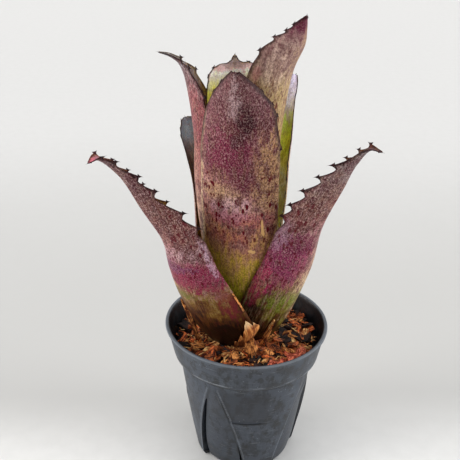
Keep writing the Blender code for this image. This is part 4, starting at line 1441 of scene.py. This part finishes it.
def red_chip_heap():
    rng = random.Random(11)
    bm = bmesh.new()
    bm.loops.layers.uv.new(GRAIN_UV)
    for x, y in RED_CHIPS:
        centre = Vector((x, y, mound_height(x, y) + 3.4))
        chip(bm, centre, (10.0, 7.0, 3.2), rng, 14, 0, torn=0.2)
    for _ in range(9):
        x, y = rng.choice(RED_CHIPS)
        centre = Vector((x + rng.uniform(-5, 4), y + rng.uniform(-2, 4), 0))
        centre.z = mound_height(centre.x, centre.y) + rng.uniform(2.0, 4.0)
        chip(bm, centre, (rng.uniform(3, 5), rng.uniform(2, 3), 1.4), rng, 25)
    bmesh.ops.recalc_face_normals(bm, faces=bm.faces)
    return finished("fine_red_chips", bm, [red_bark], ["red_chips"], smooth=False)


def splinter(bm, foot, tip, width, thickness, rng, tint):
    """A splinter that stands or leans from its foot to its tip, its broad side to the front."""
    reach = Vector(tip) - Vector(foot)
    facing = reach.to_track_quat("X", "Y").to_matrix()
    middle = (Vector(foot) + Vector(tip)) / 2
    chip(bm, middle, (reach.length, width, thickness), rng, 0, tint, torn=0.2, facing=facing)


def fibre_heap(count):
    """Loose fibres: thin, slightly bowed strips."""
    rng = random.Random(8)
    bm = bmesh.new()
    bm.loops.layers.uv.new(GRAIN_UV)
    for _ in range(count):
        length = rng.uniform(5, 14)
        spot = heap_spot(rng, 19.0, CHIP_REACH - length / 2)
        spot.z = mound_height(spot.x, spot.y) + rng.uniform(1.2, 3.4)
        size = (length, rng.uniform(0.5, 1.1), rng.uniform(0.25, 0.5))
        chip(bm, spot, size, rng, 22, rng.choice((0, 3, 3, 4)), torn=0.6)
    for foot, tip, width, thickness, tint in SPLINTERS:
        splinter(bm, foot, tip, width, thickness, rng, tint)
    for strand in range(BUNDLE):
        shift = Vector((1.15 * strand, -0.2 * strand, rng.uniform(-0.3, 0.5)))
        slant = Vector((rng.uniform(-1.2, 1.2), rng.uniform(-1.5, 1.5), 0))
        foot = Vector(BUNDLE_FOOT) + shift
        tip = Vector(BUNDLE_TIP) + shift + slant
        splinter(bm, foot, tip, 0.7, 0.5, rng, rng.choice((0, 3, 3)))
    bmesh.ops.recalc_face_normals(bm, faces=bm.faces)
    return finished("bark_fibres", bm, bark_tints, smooth=False)


reds = red_chip_heap()
fibres = fibre_heap(240)
print("faces in red chips and fibres:", [len(obj.data.polygons) for obj in (reds, fibres)])

# %% [markdown]
# ## Stem and dry sheaths
#
# Under the leaves sits a short woody stem. Older leaves have died back to papery sheaths: brittle, tan,
# ribbed lengthwise and torn along the top. A sheath follows the outside of the leaf that pushed it
# away, so it uses that leaf's formula with a stand-off, and its top edge is pulled into uneven points.

# %% Model the stem and the sheaths
STEM_PROFILE = (
    (0.0, 87.5), (1.2, 87.4), (2.2, 87.0), (2.9, 85.6), (3.4, 84.3), (4.6, 82.8), (5.8, 81.5), (6.9, 80.0),
    (7.9, 78.5), (8.8, 77.2), (9.5, 76.2), (10.0, 75.5), (9.4, 75.0), (8.3, 74.7), (8.3, 66.0), (8.3, 58.0),
    (0.0, 58.0),
)
SHEATH_COLUMNS = 18
SHEATH_ROWS = 26
SHEATH_THICKNESS = 0.5


def papery_paint():
    """Dry, ribbed sheath that lets a warm tan through, browner at its foot."""
    paint = Paint("dry_sheath", Specular_IOR_Level=0.3)
    grain = paint.uv(GRAIN_UV)
    _, along, _ = paint.axes(grain)
    ribs = paint.noise(paint.stretch(grain, (16.0, 1.2, 1.0)), 1.0, 3, 0.6)
    stains = paint.noise(grain, 2.5, 4)
    tint = paint.mix(paint.between(ribs, 0.40, 0.60), colour(146, 74, 28), colour(224, 150, 80))
    tint = paint.mix(paint.between(stains, 0.50, 0.60) * 0.7, tint, colour(84, 38, 16))
    tint = paint.mix(paint.between(along, 0.8, 0.2) * 0.65, tint, colour(54, 26, 12))
    tint = paint.mix(paint.between(along, 1.3, 1.7) * 0.7, tint, colour(244, 208, 156))
    paint.feed("Base Color", tint)
    paint.feed("Roughness", 0.6 + stains * 0.2)
    paint.bump(ribs, 0.6, 0.2 * MM)
    return paint.material


def dry_sheath(name, leaf, places, acrosses, stand_off, seed, node, material):
    """A strip that stands against the outside of a leaf, highest a little to one side of its middle."""
    low, high = places
    left, right = acrosses
    peak = random.Random(seed).uniform(0.2, 0.3)
    bm = bmesh.new()
    bmesh.ops.create_grid(bm, x_segments=SHEATH_COLUMNS, y_segments=SHEATH_ROWS, size=0.5)
    uv = bm.loops.layers.uv.new(GRAIN_UV)
    for vert in bm.verts:
        flat_x = vert.co.x
        torn = 1 - 1.3 * abs(flat_x - peak) + 0.22 * noise.noise(Vector((flat_x * 11, seed, 3)))
        share = (vert.co.y + 0.5) * torn
        place = low + (high - low) * share
        narrowing = 1.05 - 0.35 * share
        across = (left + right) / 2 + (right - left) * flat_x * narrowing
        curl = stand_off + 0.7 * math.sin(flat_x * 7 + seed) + 1.6 * share * share
        for loop in vert.link_loops:
            loop[uv].uv = (flat_x * 1.1 + seed, share * 1.8)
        vert.co = one_point(leaf, place, across, curl)
    obj = finished(name, bm, [material], [node])
    solid = obj.modifiers.new("thickness", "SOLIDIFY")
    solid.thickness = SHEATH_THICKNESS * MM
    solid.offset = 0
    return obj


stem_bark = bark_paint("stem_bark", colour(120, 84, 50), colour(52, 32, 20))
stem = turned("fine_stem", STEM_PROFILE, PLANT_AXIS, stem_bark, 64, "stem", 0.15)
paper = papery_paint()
outer = LEAVES["leaf_left_outer"]
sheaths = [
    dry_sheath("fine_sheath_front", outer, (0.03, 0.205), (0.56, 1.14), 1.8, 1, "dry_sheath_front", paper),
    dry_sheath("fine_sheath_left", outer, (0.03, 0.13), (-0.95, -0.7), 1.5, 2, "dry_sheath_left", paper),
]
print("stem:", len(stem.data.polygons), "faces, and", len(sheaths), "sheaths")

# %% [markdown]
# ## Floor
#
# The plant stands on a seamless pale sweep: a floor that curves up into a backdrop far behind it. The
# paper is a little darker just behind the plant, a painted shadow, and faint noise keeps it from
# looking like a screen.

# %% Lay the floor
SWEEP_HALF_SIZE = 2.5  # metres
SWEEP_SHIFT = 1.2
SWEEP_RISES_AT = 2.2
SWEEP_RISE = 0.55


def sweep():
    """A floor that curves up into a backdrop."""
    bm = bmesh.new()
    bmesh.ops.create_grid(bm, x_segments=60, y_segments=80, size=SWEEP_HALF_SIZE)
    for vert in bm.verts:
        vert.co.y += SWEEP_SHIFT
        beyond = max(vert.co.y - SWEEP_RISES_AT, 0)
        vert.co.z = SWEEP_RISE * beyond * beyond
    mesh = bpy.data.meshes.new("sweep")
    bm.to_mesh(mesh)
    bm.free()
    mesh.polygons.foreach_set("use_smooth", [True] * len(mesh.polygons))
    obj = bpy.data.objects.new("sweep", mesh)
    bpy.context.scene.collection.objects.link(obj)
    paint = Paint("sweep_paper_painted_shadow", Roughness=0.8)
    place = paint.centimetres()
    _, back, _ = paint.axes(place)
    drift = paint.noise(place, 0.02, 3)
    # painted shadow: the paper is darker from just in front of the plant to well behind it, and lighter
    # towards the camera
    near = paint.between(back + (drift - 0.5) * 6, 5.0, -3.0)
    far = paint.between(back + (drift - 0.5) * 30, 12.0, 70.0)
    tint = paint.mix(near, colour(182, 181, 178), colour(228, 227, 224))
    tint = paint.mix(far, tint, colour(201, 200, 198))
    paint.feed("Base Color", paint.mix(paint.noise(place, 0.9, 4) * 0.3, tint, colour(178, 177, 174)))
    mesh.materials.append(paint.material)
    return obj


floor = sweep()
print("floor:", len(floor.data.polygons), "faces")

# %% [markdown]
# ## Light
#
# The light is soft and even, as in a light tent. Two broad low lights come from the sides, so that the
# leaves' round backs stay bright towards both margins, and a weaker one comes from above. The pale
# surroundings fill what is left.


# %% Light it
def soft_light(name, turn, rise, power, width, tint=(1, 1, 1)):
    """A broad, far-off light, at an angle from the front towards +X and at a rise, all in degrees."""
    light = bpy.data.lights.new(name, "SUN")
    light.energy = power
    light.angle = math.radians(width)
    light.color = tint
    obj = bpy.data.objects.new(name, light)
    bpy.context.scene.collection.objects.link(obj)
    toward = round_axis(turn, math.cos(math.radians(rise)), math.sin(math.radians(rise)))
    obj.rotation_euler = toward.to_track_quat("Z", "Y").to_euler()


soft_light("left", -88, 16, 3.4, 50, (1.0, 0.99, 0.97))
soft_light("right", 92, 16, 3.0, 50, (0.98, 0.99, 1.0))
soft_light("above", 180, 80, 1.8, 70)
world = bpy.data.worlds.new("soft_room")
world.use_nodes = True
surroundings = world.node_tree.nodes["Background"]
surroundings.inputs["Color"].default_value = (0.93, 0.95, 1.0, 1)
surroundings.inputs["Strength"].default_value = 0.34
bpy.context.scene.world = world
print("lights:", len(bpy.data.lights))

# %% [markdown]
# ## Camera
#
# The camera looks down at the plant from a little above the leaves' tips. Its place, tilt and focal
# length follow from how round the pot's rim looks and how its sides narrow. The Standard view keeps
# colours as they were mixed.

# %% Place the camera
PITCH = 25.62  # degrees down
ROLL = 0.22
FOCAL_LENGTH = 58.70  # millimetres, on a sensor 36 mm wide
CAMERA_PLACE = (-0.01012, -0.392863, 0.341937)  # metres
camera = bpy.data.cameras.new("camera")
camera.lens = FOCAL_LENGTH
camera.sensor_width = 36
camera.clip_end = 20
camera_object = bpy.data.objects.new("camera", camera)
bpy.context.scene.collection.objects.link(camera_object)
camera_object.location = CAMERA_PLACE
upright_turn = Matrix.Rotation(math.radians(90 - PITCH), 4, "X")
camera_object.rotation_euler = (upright_turn @ Matrix.Rotation(math.radians(ROLL), 4, "Z")).to_euler()
bpy.context.scene.camera = camera_object
bpy.context.scene.view_settings.view_transform = "Standard"
print("camera", round(camera_object.location.length, 3), "m from the pot's foot")
